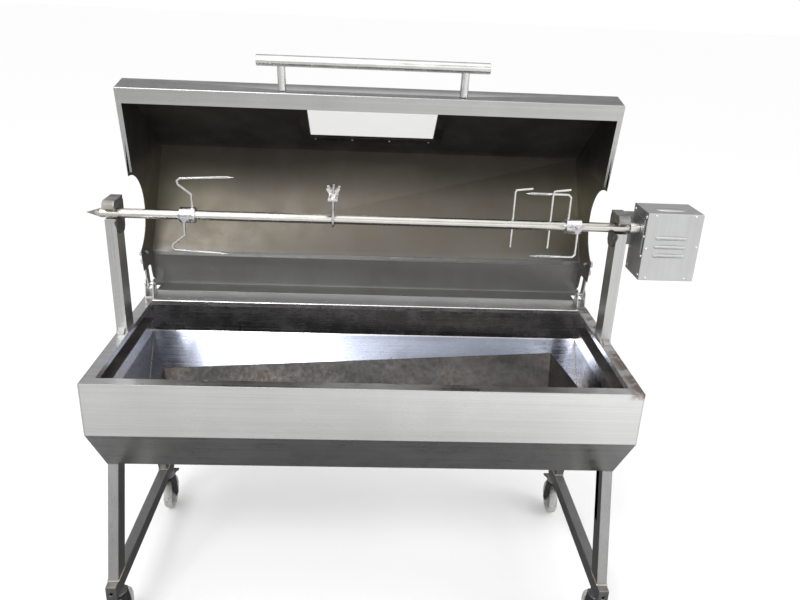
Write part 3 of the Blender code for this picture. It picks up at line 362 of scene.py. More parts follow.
def bead(name, body, path, finish, radius=0.0016, pitch=0.0022, closed=False):
    """A weld bead along a line of points, with the ripple that each dip of the rod leaves."""
    sizes = {"Bead Radius": radius, "Ripple Pitch": pitch, "Ripple Depth": 0.16}
    tree, given, add = tree_for(name, sizes)
    line = add("GeometryNodeMeshToCurve", Mesh=given["Geometry"])
    step = add("ShaderNodeMath", {"operation": "DIVIDE"}, i0=given["Ripple Pitch"], i1=5.0)
    fine = add("GeometryNodeResampleCurve", {"mode": "LENGTH"}, Curve=line, Length=step)
    along = tree.nodes.new("GeometryNodeSplineParameter").outputs["Length"]
    phase = add("ShaderNodeMath", {"operation": "DIVIDE"}, i0=along, i1=given["Ripple Pitch"])
    wave = add("ShaderNodeMath", {"operation": "SINE"},
               i0=add("ShaderNodeMath", {"operation": "MULTIPLY"}, i0=phase, i1=2 * math.pi))
    swell = add("ShaderNodeMath", {"operation": "MULTIPLY_ADD"}, i0=wave, i1=given["Ripple Depth"], i2=1.0)
    ring = add("GeometryNodeCurvePrimitiveCircle", {"mode": "RADIUS"}, Resolution=7, Radius=1.0)
    thick = add("ShaderNodeMath", {"operation": "MULTIPLY"}, i0=swell, i1=given["Bead Radius"])
    sized = add("GeometryNodeSetCurveRadius", Curve=fine, Radius=thick)
    run = tree.nodes.new("GeometryNodeCurveToMesh")
    tree.links.new(sized, run.inputs["Curve"])
    tree.links.new(ring, run.inputs["Profile Curve"])
    run.inputs["Fill Caps"].default_value = True
    if "Scale" in run.inputs:
        tree.links.new(thick, run.inputs["Scale"])
    mesh = bpy.data.meshes.new(name)
    joins = [(i, i + 1) for i in range(len(path) - 1)] + ([(len(path) - 1, 0)] if closed else [])
    mesh.from_pydata([Vector(p) for p in path], joins, [])
    guide = bpy.data.objects.new(name, mesh)
    bpy.context.scene.collection.objects.link(guide)
    return grown(name, body, tree, add, run.outputs[0], sizes, guide, finish)


weld = Finish("weld_metal", Metallic=1.0)
weld_heat = weld.noise((40.0, 40.0, 40.0))
weld_metal = weld.done(
    weld.ramp(weld_heat, (0.30, (0.42, 0.40, 0.38)), (0.52, (0.58, 0.50, 0.36)),
              (0.72, (0.40, 0.42, 0.50))),
    weld.span(weld_heat, 0.3, 0.7, 0.25, 0.42))


def weld_tint(low, high, inner=0.0):
    """Faint straw heat tint beside the welds at two heights, further than inner from the middle."""
    def stain(steel, colour, gloss):
        up = steel.axis("Z")
        tint_reach = 0.022
        beside = [steel.span(steel.sum("ABSOLUTE", steel.sum("SUBTRACT", up, joint), 0.0),
                             0.0, tint_reach, 1.0, 0.0) for joint in (low, high)]
        near = steel.sum("MAXIMUM", *beside)
        away = steel.sum("ABSOLUTE", steel.axis("Y"), 0.0)
        near = steel.sum("MULTIPLY", near, steel.span(away, inner - 0.02, inner + 0.02))
        cloud = steel.noise((60.0, 60.0, 60.0))
        uneven = steel.sum("MULTIPLY", near, steel.span(cloud, 0.35, 0.7, 0.1, 0.4))
        tinted = steel.mix(uneven, colour, (0.38, 0.35, 0.31))
        return tinted, steel.sum("ADD", gloss, steel.sum("MULTIPLY", uneven, 0.08))
    return stain


frame_low, frame_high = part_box("side_frame_left")
rail_top = 0.170
shoe = 0.004
tube_deep = 0.050
foot_outer = 0.252
head_outer = 0.166
leg_steel = brushed("leg_steel", "z", (0.34, 0.34, 0.335), 0.33, 0.2,
                    weld_tint(rail_top, frame_high.z, 0.17))
for side in ("left", "right"):
    eased("side_frame_" + side, "base", leg_steel, "brushed", 0.0009, 0.0022, 0.0009, 0.0012)
    low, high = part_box("side_frame_" + side)
    for tag, way in (("front", -1), ("rear", 1)):
        for place, outer, z in (("low", foot_outer, rail_top), ("high", head_outer, high.z - shoe)):
            y0, y1 = sorted((way * outer, way * (outer - tube_deep)))
            ring = [(low.x, y0, z), (high.x, y0, z), (high.x, y1, z), (low.x, y1, z)]
            bead("leg_weld_%s_%s_%s" % (side, tag, place), "base", ring, weld_metal, 0.0019, 0.0028, True)

# Frame bolts --------------------------------------------------------------------------------
# Zinc-plated M8 hexagon bolts through shoe and trough floor, each with a nut inside.


def plated(name, tint=(0.56, 0.57, 0.60), rough=0.30):
    """Bright zinc plate with faint rainbow clouds and dulled spots."""
    zinc = Finish(name, Metallic=1.0)
    cloud = zinc.noise((55.0, 55.0, 55.0), 3.0, 0.6)
    spots = zinc.noise((240.0, 240.0, 240.0), 2.0, 0.5, (0.7, 0.1, 0.4))
    dull = tuple(c * 0.74 for c in tint)
    warm = (tint[0] * 1.05, tint[1] * 0.99, tint[2] * 0.86)
    colour = zinc.ramp(cloud, (0.28, dull), (0.50, tint), (0.66, warm))
    zinc.bump(spots, 0.12, 0.0003)
    return zinc.done(colour, zinc.span(spots, 0.3, 0.7, rough - 0.06, rough + 0.14))


def guide_points(name, places):
    """Loose points, each with the way its fastener faces."""
    mesh = bpy.data.meshes.new(name)
    mesh.from_pydata([p for p, _ in places], [], [])
    facing = mesh.attributes.new("facing", "FLOAT_VECTOR", "POINT")
    for item, (_, way) in zip(facing.data, places):
        item.vector = way
    made = bpy.data.objects.new(name, mesh)
    bpy.context.scene.collection.objects.link(made)
    return made


def standing(tree, add, spots, head, seed=7):
    """Instances of one head, its own +Z along each point's facing, turned at random about it."""
    way = add("GeometryNodeInputNamedAttribute", {"data_type": "FLOAT_VECTOR"}, Name="facing")
    aimed = add("FunctionNodeAlignRotationToVector", {"axis": "Z"}, Vector=way)
    dice = tree.nodes.new("FunctionNodeRandomValue")
    dice.data_type = "FLOAT"
    dice.inputs[3].default_value = 2 * math.pi
    dice.inputs["Seed"].default_value = seed
    twist = add("FunctionNodeEulerToRotation", Euler=add("ShaderNodeCombineXYZ", Z=dice.outputs[1]))
    turned = add("FunctionNodeRotateRotation", {"rotation_space": "LOCAL"}, Rotation=aimed, Rotate_By=twist)
    return add("GeometryNodeInstanceOnPoints", Points=spots, Instance=head, Rotation=turned)


def pan_heads(name, body, places, finish, radius=0.0028, rise=0.0014, seed=7):
    """Cross-slotted pan-head screws, one at each place, sunk a little into the sheet."""
    sizes = {"Head Radius": radius, "Head Height": rise, "Slot Width": radius * 0.26}
    tree, given, add = tree_for(name, sizes)

    def times(first, second):
        return add("ShaderNodeMath", {"operation": "MULTIPLY"}, i0=first, i1=second)

    r, h, w = given["Head Radius"], given["Head Height"], given["Slot Width"]
    ball = add("GeometryNodeMeshUVSphere", Segments=20, Rings=12, Radius=1.0)
    dome = add("GeometryNodeTransform", Geometry=ball, Scale=add("ShaderNodeCombineXYZ", X=r, Y=r, Z=h))
    cross = tree.nodes.new("GeometryNodeMeshBoolean")
    cross.solver = "EXACT"
    tree.links.new(dome, cross.inputs["Mesh 1"])
    for wide, deep in ((times(r, 1.15), w), (w, times(r, 1.15))):
        bar = add("GeometryNodeMeshCube", Size=add("ShaderNodeCombineXYZ", X=wide, Y=deep, Z=h))
        raised = add("GeometryNodeTransform", Geometry=bar,
                     Translation=add("ShaderNodeCombineXYZ", Z=times(h, 1.05)))
        tree.links.new(raised, cross.inputs["Mesh 2"])
    head = cross.outputs[0]
    return grown(name, body, tree, add, standing(tree, add, given["Geometry"], head, seed), sizes,
                 guide_points(name, places), finish)


zinc_plate = plated("zinc_plate")
screw_plate = plated("screw_plate", (0.78, 0.78, 0.79), 0.26)
for tag in ("fl", "fr", "rl", "rr"):
    eased("frame_bolt_" + tag, "base", zinc_plate, "zinc", 0.0006)

# Castors ------------------------------------------------------------------------------------
# Pressed steel housings in dark plate, a grey moulded wheel turned with a crowned tread and a
# dished web, an axle nut on each side, and foot levers on the two rear ones.

dark_plate = Finish("dark_plate", Metallic=0.85)
dark_cloud = dark_plate.noise((30.0, 30.0, 30.0), 4.0, 0.6)
dark_fine = dark_plate.noise((420.0, 420.0, 420.0), 2.0, 0.5)
dark_plate.bump(dark_fine, 0.15, 0.0003)
dark_metal = dark_plate.done(
    dark_plate.ramp(dark_cloud, (0.30, (0.050, 0.050, 0.052)), (0.52, (0.095, 0.095, 0.095)),
                    (0.74, (0.17, 0.165, 0.155))),
    dark_plate.span(dark_fine, 0.3, 0.7, 0.34, 0.52))

tyre = Finish("grey_tyre")
tyre_scuff = tyre.noise((70.0, 70.0, 70.0), 4.0, 0.65)
tyre.bump(tyre.noise((600.0, 600.0, 600.0), 2.0), 0.2, 0.0003)
tyre_grey = tyre.done(
    tyre.ramp(tyre_scuff, (0.30, (0.23, 0.225, 0.215)), (0.50, (0.47, 0.465, 0.45)),
              (0.75, (0.56, 0.555, 0.54))),
    tyre.span(tyre_scuff, 0.3, 0.7, 0.42, 0.62))
hub = Finish("grey_hub")
hub_cloud = hub.noise((90.0, 90.0, 90.0))
hub_grey = hub.done(hub.mix(hub.span(hub_cloud, 0.3, 0.7), (0.22, 0.22, 0.22), (0.33, 0.33, 0.325)),
                    hub.span(hub_cloud, 0.3, 0.7, 0.35, 0.5))


def spun_x(name, profile, centre, steps=64, smooth=35.0):
    """A closed (x, radius) profile turned about a line along X."""
    drawn = bmesh.new()
    ring = [drawn.verts.new((centre[0] + x, centre[1] + r, centre[2])) for x, r in profile]
    for i, vert in enumerate(ring):
        drawn.edges.new((vert, ring[(i + 1) % len(ring)]))
    bmesh.ops.spin(drawn, geom=drawn.verts[:] + drawn.edges[:], cent=centre, axis=(1.0, 0.0, 0.0),
                   angle=2 * math.pi, steps=steps, use_merge=True)
    bmesh.ops.remove_doubles(drawn, verts=drawn.verts[:], dist=1e-6)
    return mesh_object(name, drawn, smooth)


for tag in ("fl", "fr", "rl", "rr"):
    low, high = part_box("castor_wheel_" + tag)
    middle = (low + high) / 2
    radius = (high.z - low.z) / 2
    half = (high.x - low.x) / 2
    bore = 0.0046
    tread = [(half * math.cos(t) * 0.98, radius - 0.006 + 0.006 * math.sin(t))
             for t in [math.radians(a) for a in range(10, 171, 16)]]
    side_in = [(half - 0.0035, radius - 0.010), (half - 0.0040, radius - 0.0135)]
    outline = [(half * 0.98, radius - 0.0080)] + tread + [(-half * 0.98, radius - 0.0080)]
    outline += [(-x, r) for x, r in side_in] + [(x, r) for x, r in reversed(side_in)]
    piece(spun_x("castor_tyre_" + tag, outline, middle), "wheel_" + tag, tyre_grey,
          ("castor_wheel_" + tag,))
    web = [(half - 0.0045, radius - 0.0125), (half - 0.0060, radius - 0.0150), (0.0062, radius - 0.0175),
           (0.0055, 0.0195), (0.0065, 0.0170), (half - 0.0030, 0.0150), (half - 0.0022, 0.0135),
           (half - 0.0022, bore)]
    outline = web + [(-x, r) for x, r in reversed(web)]
    piece(spun_x("castor_hub_" + tag, outline, middle), "wheel_" + tag, hub_grey, ())
    eased("castor_fork_" + tag, "castor_" + tag, dark_metal, "dark", 0.0005)
    eased("castor_flange_" + tag, "base", zinc_plate, "zinc", 0.0006)
for tag in ("rl", "rr"):
    eased("brake_pedal_" + tag, "pedal_" + tag, dark_metal, "dark", 0.0008)

# Trough -------------------------------------------------------------------------------------
# Folded from 2 mm stainless: upright faces, sloping lower faces and a flat rim with a lip
# turned down inside. Outside it is brushed lengthways; inside the fire has tinted it blue, and the end
# walls below the fold carry painted shade.


def two_sided(made, centre):
    """Marks the faces that look in towards a middle line as the second finish."""
    for face in made.data.polygons:
        inward = Vector(centre) - face.center
        if abs(face.normal.x) < 0.7:
            inward.x = 0.0
        face.material_index = 1 if face.normal.dot(inward) > 0.0 else 0


def fire_tint_and_end_shade(steel, colour, gloss):
    """Blue and violet from the heat on the slopes, greyer above the fold, with ash specks low down; the end
    walls below the fold carry painted shade, a flat dark grey.
    """
    up = steel.axis("Z")
    drift = steel.noise((2.0, 5.0, 5.0), 3.0, 0.5, (0.2, 0.6, 0.3))
    heat = steel.sum("ADD", steel.span(up, 0.46, 0.59, 0.0, 0.8), steel.span(drift, 0.3, 0.7, -0.30, 0.30))
    slope = steel.ramp(heat, (0.05, (0.19, 0.175, 0.17)), (0.30, (0.17, 0.18, 0.23)),
                       (0.60, (0.25, 0.28, 0.35)), (0.90, (0.20, 0.19, 0.25)))
    upright = steel.ramp(drift, (0.32, (0.86, 0.85, 0.88)), (0.68, (0.96, 0.93, 0.90)))
    # Painted shade: the inner end walls below the fold are a flat dark grey.
    painted_end_shade = steel.span(steel.sum("ABSOLUTE", steel.axis("X"), 0.0), 0.590, 0.597)
    slope = steel.mix(painted_end_shade, slope, (0.20, 0.20, 0.205))
    tint = steel.mix(steel.span(up, 0.584, 0.589), slope, upright)
    specks = steel.span(steel.noise((160.0, 160.0, 160.0), 2.0, 0.7), 0.66, 0.72)
    low = steel.span(up, 0.47, 0.60, 1.0, 0.0)
    ash = steel.sum("MULTIPLY", specks, steel.sum("ADD", low, 0.12))
    dulled = steel.sum("ADD", gloss, steel.sum("MULTIPLY", ash, 0.3))
    return steel.mix(ash, steel.mix(0.9, colour, tint), (0.10, 0.09, 0.08)), dulled


def rim_wear(steel, colour, gloss):
    """Ground seams at the corners, and burnt-on fat on top of the right end's rim."""
    end = steel.sum("ABSOLUTE", steel.axis("X"), 0.0)
    seam = steel.sum("MULTIPLY", steel.span(end, 0.5958, 0.5964), steel.span(end, 0.5970, 0.5976, 1.0, 0.0))
    patch = steel.noise((26.0, 26.0, 26.0), 4.0, 0.65, (0.7, 0.3, 0.0))
    right_end = steel.span(steel.axis("X"), 0.560, 0.585)
    fat = steel.sum("MULTIPLY", right_end, steel.span(steel.axis("Z"), 0.695, 0.705))
    fat = steel.sum("MULTIPLY", fat, steel.span(patch, 0.44, 0.56, 0.0, 0.85))
    marked = steel.mix(steel.sum("MULTIPLY", seam, 0.55), colour, (0.22, 0.22, 0.22))
    dulled = steel.sum("ADD", gloss, steel.sum("MULTIPLY", fat, 0.25))
    return steel.mix(fat, marked, (0.19, 0.13, 0.10)), dulled


trough_out = brushed("trough_steel", "x", (0.70, 0.70, 0.695), 0.30, 0.30, rim_wear)
trough_in = brushed("trough_fired_end_shade", "x", (0.60, 0.60, 0.62), 0.24, 0.6, fire_tint_and_end_shade, depth=0.025)
mouth_middle = 0.16
low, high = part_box("trough")
trough = broken_edges("trough", 0.0007, 0.0028, 0.0012)
two_sided(trough, (0.0, 0.0, low.z + mouth_middle))
piece(trough, "base", [trough_out, trough_in], ("trough",))
rear_rim_middle = 0.207
rim_screws = [((x, rear_rim_middle, high.z), (0.0, 0.0, 1.0))
              for x in (-0.53, -0.32, -0.11, 0.11, 0.32, 0.53)]
pan_heads("rim_screws", "base", rim_screws, screw_plate, 0.0026, 0.0013, 3)

# Ledges -------------------------------------------------------------------------------------
# Steel angles screwed inside the end walls, sooted; a grill rests on them.


def sooted(name, tint=(0.23, 0.22, 0.205), rough=0.42):
    """Steel browned by smoke, with thin greasy patches."""
    soot = Finish(name, Metallic=0.9)
    patch = soot.noise((14.0, 14.0, 14.0), 4.0, 0.62)
    fine = soot.noise((300.0, 300.0, 300.0), 2.0)
    soot.bump(fine, 0.12, 0.0003)
    colour = soot.ramp(patch, (0.30, tuple(c * 0.42 for c in tint)), (0.52, tint),
                       (0.74, (tint[0] * 1.5, tint[1] * 1.4, tint[2] * 1.2)))
    return soot.done(colour, soot.span(patch, 0.3, 0.7, rough + 0.14, rough - 0.08))


smoked = sooted("smoked_steel")
for side in ("left", "right"):
    eased("ledge_" + side, "base", smoked, "sooted", 0.0005)

# Charcoal pan -------------------------------------------------------------------------------
# Plain steel pan, folded and welded, burnt dull grey with rust and pale ash; it lies loose.

burnt = Finish("burnt_pan", Metallic=0.75)
burn_cloud = burnt.noise((9.0, 9.0, 16.0), 5.0, 0.65)
burn_fine = burnt.noise((90.0, 90.0, 90.0), 4.0, 0.7, (0.4, 0.4, 0.2))
rust = burnt.span(burnt.sum("MULTIPLY", burn_cloud, burn_fine), 0.27, 0.36)
ash_low = burnt.sum("MULTIPLY", burnt.span(burnt.axis("Z"), 0.450, 0.490, 1.0, 0.0),
                    burnt.span(burn_fine, 0.35, 0.6, 0.3, 1.0))
pan_colour = burnt.ramp(burn_cloud, (0.30, (0.060, 0.058, 0.056)), (0.50, (0.105, 0.100, 0.096)),
                        (0.72, (0.165, 0.158, 0.150)))
pan_colour = burnt.mix(burnt.sum("MULTIPLY", rust, 0.45), pan_colour, (0.115, 0.068, 0.045))
pan_colour = burnt.mix(burnt.sum("MULTIPLY", ash_low, 0.55), pan_colour, (0.27, 0.265, 0.26))
burnt.bump(burn_fine, 0.35, 0.0012)
pan_burnt = burnt.done(pan_colour, burnt.span(burn_fine, 0.3, 0.7, 0.50, 0.72))
eased("charcoal_pan", "pan", pan_burnt, "pan", 0.0007, 0.0030, 0.0014)

# Spit posts ---------------------------------------------------------------------------------
# Uprights of the same rectangular tube, brushed along their height and welded to the end rims
# with a small tab at the foot.

post_front = -0.013
rim_height = 0.712
post_steel = brushed("post_steel", "z", (0.56, 0.56, 0.55), 0.30, 0.2, weld_tint(rim_height, rim_height))
for side in ("left", "right"):
    eased("spit_post_" + side, "base", post_steel, "brushed", 0.0007, 0.0022, 0.0010, 0.0012)
    low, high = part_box("spit_post_" + side)
    x0, x1, y0, y1, z = low.x, high.x, post_front, high.y, low.z
    ring = [(x0, y0, z), (x1, y0, z), (x1, y1, z), (x0, y1, z)]
    bead("post_weld_" + side, "base", ring, weld_metal, 0.0018, 0.0025, True)

# Spit cradles -------------------------------------------------------------------------------
# Blackened plates welded inside the post tops, each with a jaw over the bar.

cradle_steel = sooted("cradle_steel", (0.30, 0.30, 0.295), 0.42)
for side in ("left", "right"):
    eased("cradle_" + side, "base", cradle_steel, "dark", 0.0006)

# Hinge brackets -----------------------------------------------------------------------------
# Small upright forks of stainless plate welded on the end rims, with a pin across.

bracket_steel = brushed("bracket_steel", "z", (0.60, 0.60, 0.59), 0.28, 0.1)
for side in ("left", "right"):
    eased("hinge_bracket_" + side, "base", bracket_steel, "brushed", 0.0005)

# Hood ---------------------------------------------------------------------------------------
# Folded from 1.6 mm stainless with a flanged lip and welded, notched ends; brushed outside,
# browned by smoke inside, darkest under the front slope, with a painted highlight towards each end.


def hood_smoke_and_painted_highlight(steel, colour, gloss):
    """Grey at the foot, brown over the meat, nearly black under the front slope, with a painted highlight:
    lighter warm patches towards each end at mid height.
    """
    up = steel.axis("Z")
    drift = steel.noise((1.6, 6.0, 4.0), 3.0, 0.55, (0.8, 0.1, 0.5))
    rise = steel.sum("ADD", up, steel.span(drift, 0.3, 0.7, -0.012, 0.012))
    smoke = steel.ramp(steel.span(rise, 0.74, 1.30), (0.02, (0.26, 0.26, 0.25)),
                       (0.13, (0.20, 0.195, 0.18)), (0.18, (0.145, 0.13, 0.105)),
                       (0.40, (0.125, 0.108, 0.085)), (0.58, (0.105, 0.092, 0.074)),
                       (0.62, (0.045, 0.043, 0.040)), (1.0, (0.050, 0.048, 0.044)))
    # Painted highlight: lighter warm patches towards each end of the hood at mid height.
    painted_highlight_reach = steel.span(steel.sum("ABSOLUTE", steel.axis("X"), 0.0), 0.34, 0.56)
    middle = steel.span(steel.sum("ABSOLUTE", steel.sum("SUBTRACT", up, 0.97), 0.0), 0.02, 0.13, 1.0, 0.0)
    painted_highlight = steel.sum("MULTIPLY", steel.sum("MULTIPLY", painted_highlight_reach, middle), 0.5)
    patch = steel.noise((9.0, 9.0, 5.0), 4.0, 0.6, (0.2, 0.9, 0.4))
    smoke = steel.mix(steel.span(patch, 0.40, 0.72, 0.0, 0.35), smoke, (0.16, 0.15, 0.14))
    return steel.mix(painted_highlight, smoke, (0.24, 0.225, 0.16)), steel.sum("ADD", gloss, 0.10)


hood_out = brushed("hood_steel", "x", (0.50, 0.50, 0.495), 0.30, 0.30)
hood_in = brushed("hood_smoked_painted_highlight", "z", (0.40, 0.38, 0.34), 0.34, 0.35, hood_smoke_and_painted_highlight, 0.72)
low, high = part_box("hood")
hood = broken_edges("hood", 0.0005, 0.0024, 0.0010)
two_sided(hood, (0.0, 0.228, 1.03))
piece(hood, "hood", [hood_out, hood_in], ("hood",))

# Window -------------------------------------------------------------------------------------
# Heat-proof glass held against the inside of the front slope by a flat steel frame.

pane = Finish("heat_glass", Transmission_Weight=1.0, IOR=1.5)
film = pane.noise((9.0, 9.0, 9.0), 3.0)
glass_clear = pane.done(pane.mix(pane.span(film, 0.3, 0.75), (1.0, 1.0, 1.0), (0.98, 0.98, 0.965)),
                        pane.span(film, 0.35, 0.8, 0.0, 0.03))
eased("window_glass", "hood", glass_clear, "glass", 0.0006)
window_dark = sooted("window_dark", (0.060, 0.058, 0.054), 0.46)
eased("window_frame", "hood", window_dark, "sooted", 0.0005)
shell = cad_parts["hood"].data.vertices
ridge = max((v.co for v in shell), key=lambda place: place.y)
crest = max((v.co for v in shell), key=lambda place: place.z)
rising = (crest - ridge) * Vector((0.0, 1.0, 1.0))
rising.normalize()
inward = Vector((0.0, -rising.z, rising.y))
frame_face = 0.0081
strip_middle = 0.0885
far_strip = 0.2715
frame_screws = [(Vector((x, ridge.y, ridge.z)) + rising * along + inward * frame_face, inward)
                for along in (strip_middle, far_strip) for x in (-0.152, -0.053, 0.047, 0.153)]
pan_heads("frame_screws", "hood", frame_screws, screw_plate, 0.0028, 0.0013, 5)

# Handle -------------------------------------------------------------------------------------
# Bright 25 mm tube across the hood's lip, closed by flat caps, on two round stand-offs.


def bright(name, tint=(0.72, 0.71, 0.69), rough=0.20):
    """Polished bar with fine turning marks and finger smears."""
    bar = Finish(name, Metallic=1.0)
    fine = bar.noise((500.0, 60.0, 60.0), 3.0, 0.6)
    smear = bar.noise((22.0, 40.0, 40.0), 4.0, 0.6, (0.2, 0.4, 0.6))
    colour = bar.mix(bar.span(smear, 0.3, 0.75), tuple(c * 0.82 for c in tint), tint)
    bar.bump(fine, 0.06, 0.0003)
    return bar.done(colour, bar.sum("ADD", bar.span(smear, 0.3, 0.7, rough - 0.04, rough + 0.10),
                                    bar.span(fine, 0.3, 0.7, -0.03, 0.04)))


handle_bright = bright("handle_bright", (0.74, 0.74, 0.73), 0.22)
for node in ("handle_bar", "handle_stand_left", "handle_stand_right"):
    eased(node, "hood", handle_bright, "polished", 0.0008)

# Hinge arms and knobs -----------------------------------------------------------------------
# Flat bright arms outside the hood ends, each held by two knurled thumb screws.


def knurl(name, body, centre, radius, width, finish, count=26):
    """Straight knurling: fine ridges standing round a drum whose axis runs along X."""
    sizes = {"Drum Radius": radius, "Ridge Length": width, "Ridges": count, "Ridge Size": 0.0011}
    tree, given, add = tree_for(name, sizes)
    ring = add("GeometryNodeMeshCircle", Vertices=given["Ridges"], Radius=given["Drum Radius"])
    size = add("ShaderNodeCombineXYZ", X=given["Ridge Size"], Y=given["Ridge Size"],
               Z=given["Ridge Length"])
    bar = add("GeometryNodeMeshCube", Size=size)
    edge_out = add("GeometryNodeTransform", Geometry=bar, Rotation=(0.0, 0.0, math.pi / 4))
    out = add("GeometryNodeInputPosition")
    facing = add("FunctionNodeAlignRotationToVector", {"axis": "X"}, Vector=out)
    ridges = add("GeometryNodeInstanceOnPoints", Points=ring, Instance=edge_out, Rotation=facing)
    laid = add("GeometryNodeTransform", Geometry=ridges, Rotation=(0.0, math.pi / 2, 0.0),
               Translation=tuple(centre))
    guide = bpy.data.objects.new(name, bpy.data.meshes.new(name))
    bpy.context.scene.collection.objects.link(guide)
    return grown(name, body, tree, add, laid, sizes, guide, finish)


arm_low, arm_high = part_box("hinge_arm_right")
knob_low, knob_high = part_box("arm_knob_right")
knob_y = (knob_low.y + knob_high.y) / 2
knob_z = (knob_low.z + knob_high.z) / 2
second_y = knob_y + 0.0052
second_z = knob_z - 0.0255
knob_radius = (knob_high.y - knob_low.y) / 2
drum_radius = 0.0078
for side, way in (("left", -1.0), ("right", 1.0)):
    eased("hinge_arm_" + side, "hood", bracket_steel, "brushed", 0.0006)
    eased("arm_knob_" + side, "hood", zinc_plate, "zinc", 0.0006)
    start = arm_high.x + 0.0003
    stop = knob_high.x
    outline = ((start, 0.0), (start, 0.0068), (start + 0.0010, drum_radius), (stop - 0.0010, drum_radius),
               (stop, 0.0070), (stop, 0.0040), (stop - 0.0008, 0.0032), (stop - 0.0008, 0.0))
    drum = [(way * x, r) for x, r in outline]
    second = spun_x("arm_knob_second_" + side, drum, (0.0, second_y, second_z), 40)
    piece(second, "hood", zinc_plate, ())
    middle = (start + stop) / 2
    knurl_long = (stop - start) * 0.62
    for place, y, z, r in (("upper", knob_y, knob_z, knob_radius - 0.0002),
                           ("lower", second_y, second_z, drum_radius)):
        knurl("knurl_%s_%s" % (place, side), "hood", (way * middle, y, z), r, knurl_long, zinc_plate)

# Skewer -------------------------------------------------------------------------------------
# Bright round bar, pointed at the left, squared at the right to fit the drive.

spit_bright = bright("spit_bright", (0.70, 0.68, 0.63), 0.20)
eased("skewer", "spit", spit_bright, "polished", 0.0006)

# Forks, pins and brace ----------------------------------------------------------------------
# Bent round wire: two forks on sliding hubs, two leg pins and a U-bolt that clamps a cross bar.

wire_bright = bright("wire_bright", (0.80, 0.79, 0.77), 0.24)
for side in ("left", "right"):
    eased("fork_" + side, "fork_" + side, wire_bright, "polished", 0.0004)
    eased("fork_screw_" + side, "fork_" + side, zinc_plate, "zinc", 0.0004)
for k in (1, 2):
    eased("leg_pin_%d" % k, "leg_pin_%d" % k, wire_bright, "polished", 0.0003)
eased("brace_bar", "spit", wire_bright, "polished", 0.0005)
eased("brace_u_bolt", "spit", zinc_plate, "zinc", 0.0003)

# Motor --------------------------------------------------------------------------------------
# A folded stainless cover with three pressed louvres on a dark bracket, closed by a side plate;
# inside, a small can motor drives the output shaft through brass gears.


def cover_mottle(steel, colour, gloss):
    """Soft cloudy patches where the sheet was wiped down."""
    patch = steel.noise((24.0, 24.0, 24.0), 5.0, 0.62, (0.5, 0.2, 0.9))
    return steel.mix(steel.span(patch, 0.36, 0.66, 0.0, 0.5), colour, (0.52, 0.525, 0.53)), steel.sum(
        "ADD", gloss, steel.span(patch, 0.36, 0.66, 0.0, 0.08))


def louvre_cowls(name, body, places, finish, long, high, proud):
    """Pressed cowls over the slots: long domes with rounded ends, standing proud of the front."""
    sizes = {"Length": long, "Height": high, "Stand": proud}
    tree, given, add = tree_for(name, sizes)

    def times(socket, share):
        return add("ShaderNodeMath", {"operation": "MULTIPLY"}, i0=given[socket], i1=share)

    ball = add("GeometryNodeMeshUVSphere", Segments=24, Rings=12, Radius=1.0)
    squeeze = add("ShaderNodeCombineXYZ", X=times("Length", 0.5), Y=times("Height", 0.5), Z=given["Stand"])
    dome = add("GeometryNodeTransform", Geometry=ball, Scale=squeeze)
    smooth = add("GeometryNodeSetShadeSmooth", Geometry=dome)
    way = add("GeometryNodeInputNamedAttribute", {"data_type": "FLOAT_VECTOR"}, Name="facing")
    aimed = add("FunctionNodeAlignRotationToVector", {"axis": "Z"}, Vector=way)
    set_out = add("GeometryNodeInstanceOnPoints", Points=given["Geometry"], Instance=smooth, Rotation=aimed)
    return grown(name, body, tree, add, set_out, sizes, guide_points(name, places), finish)


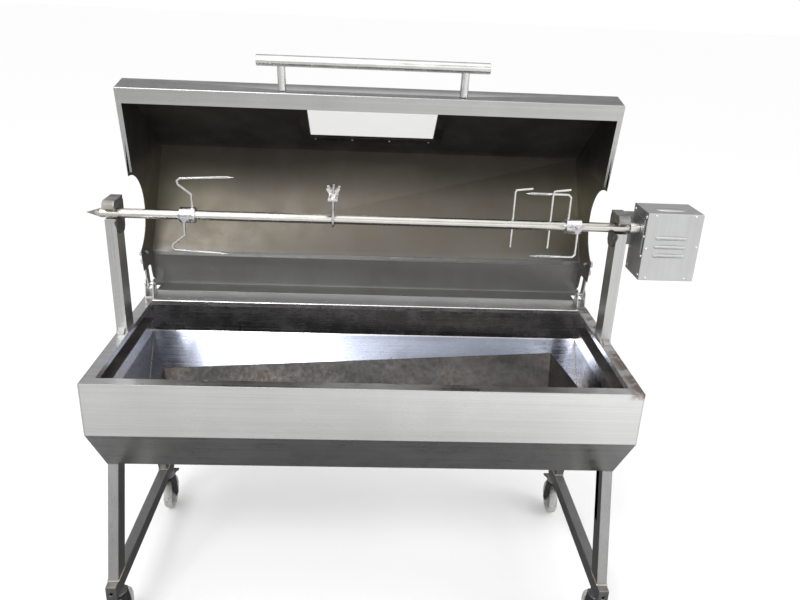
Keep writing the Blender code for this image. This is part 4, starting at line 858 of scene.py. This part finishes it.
low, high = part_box("motor_cover")
front = low.y + 0.0035
cover_steel = brushed("cover_steel", "z", (0.56, 0.56, 0.56), 0.36, 0.5, cover_mottle)
plate_steel = brushed("plate_steel", "z", (0.40, 0.40, 0.395), 0.42, 0.4, cover_mottle)
eased("motor_cover", "base", cover_steel, "brushed", 0.0004, 0.0020, 0.0008, 0.002)
eased("motor_side_plate", "base", plate_steel, "brushed", 0.0004)
eased("motor_bracket", "base", plate_steel, "dark", 0.0005)
wide = high.x - low.x
tall = high.z - low.z
cover_screws = [((low.x + u * wide, front, high.z - v * tall), (0.0, -1.0, 0.0))
                for u, v in ((0.15, 0.035), (0.85, 0.035), (0.05, 0.52), (0.95, 0.48),
                             (0.12, 0.96), (0.83, 0.96))]
pan_heads("cover_screws", "base", cover_screws, screw_plate, 0.0027, 0.0014, 11)
side_low, side_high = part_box("motor_side_plate")
side_screws = [((side_low.x, y, high.z - v * tall), (-1.0, 0.0, 0.0))
               for y in (front + 0.009, high.y - 0.010) for v in (0.07, 0.36, 0.65, 0.93)]
pan_heads("side_screws", "base", side_screws, screw_plate, 0.0040, 0.0030, 13)
louvre_middle = low.x + 0.061
louvre_pitch = 0.021
top_louvre = high.z - 0.0573
cowls = [((louvre_middle, front + 0.0004, top_louvre - louvre_pitch * k), (0.0, -1.0, 0.0))
         for k in range(3)]
louvre_cowls("louvre_cowls", "base", cowls, cover_steel, 0.076, 0.0095, 0.0052)
top_dish = [((louvre_middle + 0.004, (front + high.y) / 2 - 0.010, high.z - 0.0010), (0.0, 0.0, 1.0))]
louvre_cowls("cover_dish", "base", top_dish, cover_steel, 0.080, 0.036, 0.0060)
brass = plated("gear_brass", (0.72, 0.55, 0.26), 0.28)
gland = Finish("black_nylon")
gland_fine = gland.noise((400.0, 400.0, 400.0), 2.0)
gland.bump(gland_fine, 0.15, 0.0003)
gland_black = gland.mix(gland.span(gland_fine, 0.3, 0.7), (0.018, 0.018, 0.018), (0.034, 0.034, 0.034))
black_nylon = gland.done(gland_black, gland.span(gland_fine, 0.3, 0.7, 0.38, 0.52))
shaft_bright = bright("shaft_bright", (0.74, 0.73, 0.71), 0.24)
for node, finish in (("motor_case", zinc_plate), ("motor_rotor", zinc_plate), ("gear_plates", zinc_plate),
                     ("middle_gear", brass), ("output_bush_near", brass), ("output_bush_far", brass),
                     ("output_shaft", shaft_bright), ("cable_gland", black_nylon)):
    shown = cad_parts[node]
    shown.data.materials.clear()
    shown.data.materials.append(finish)
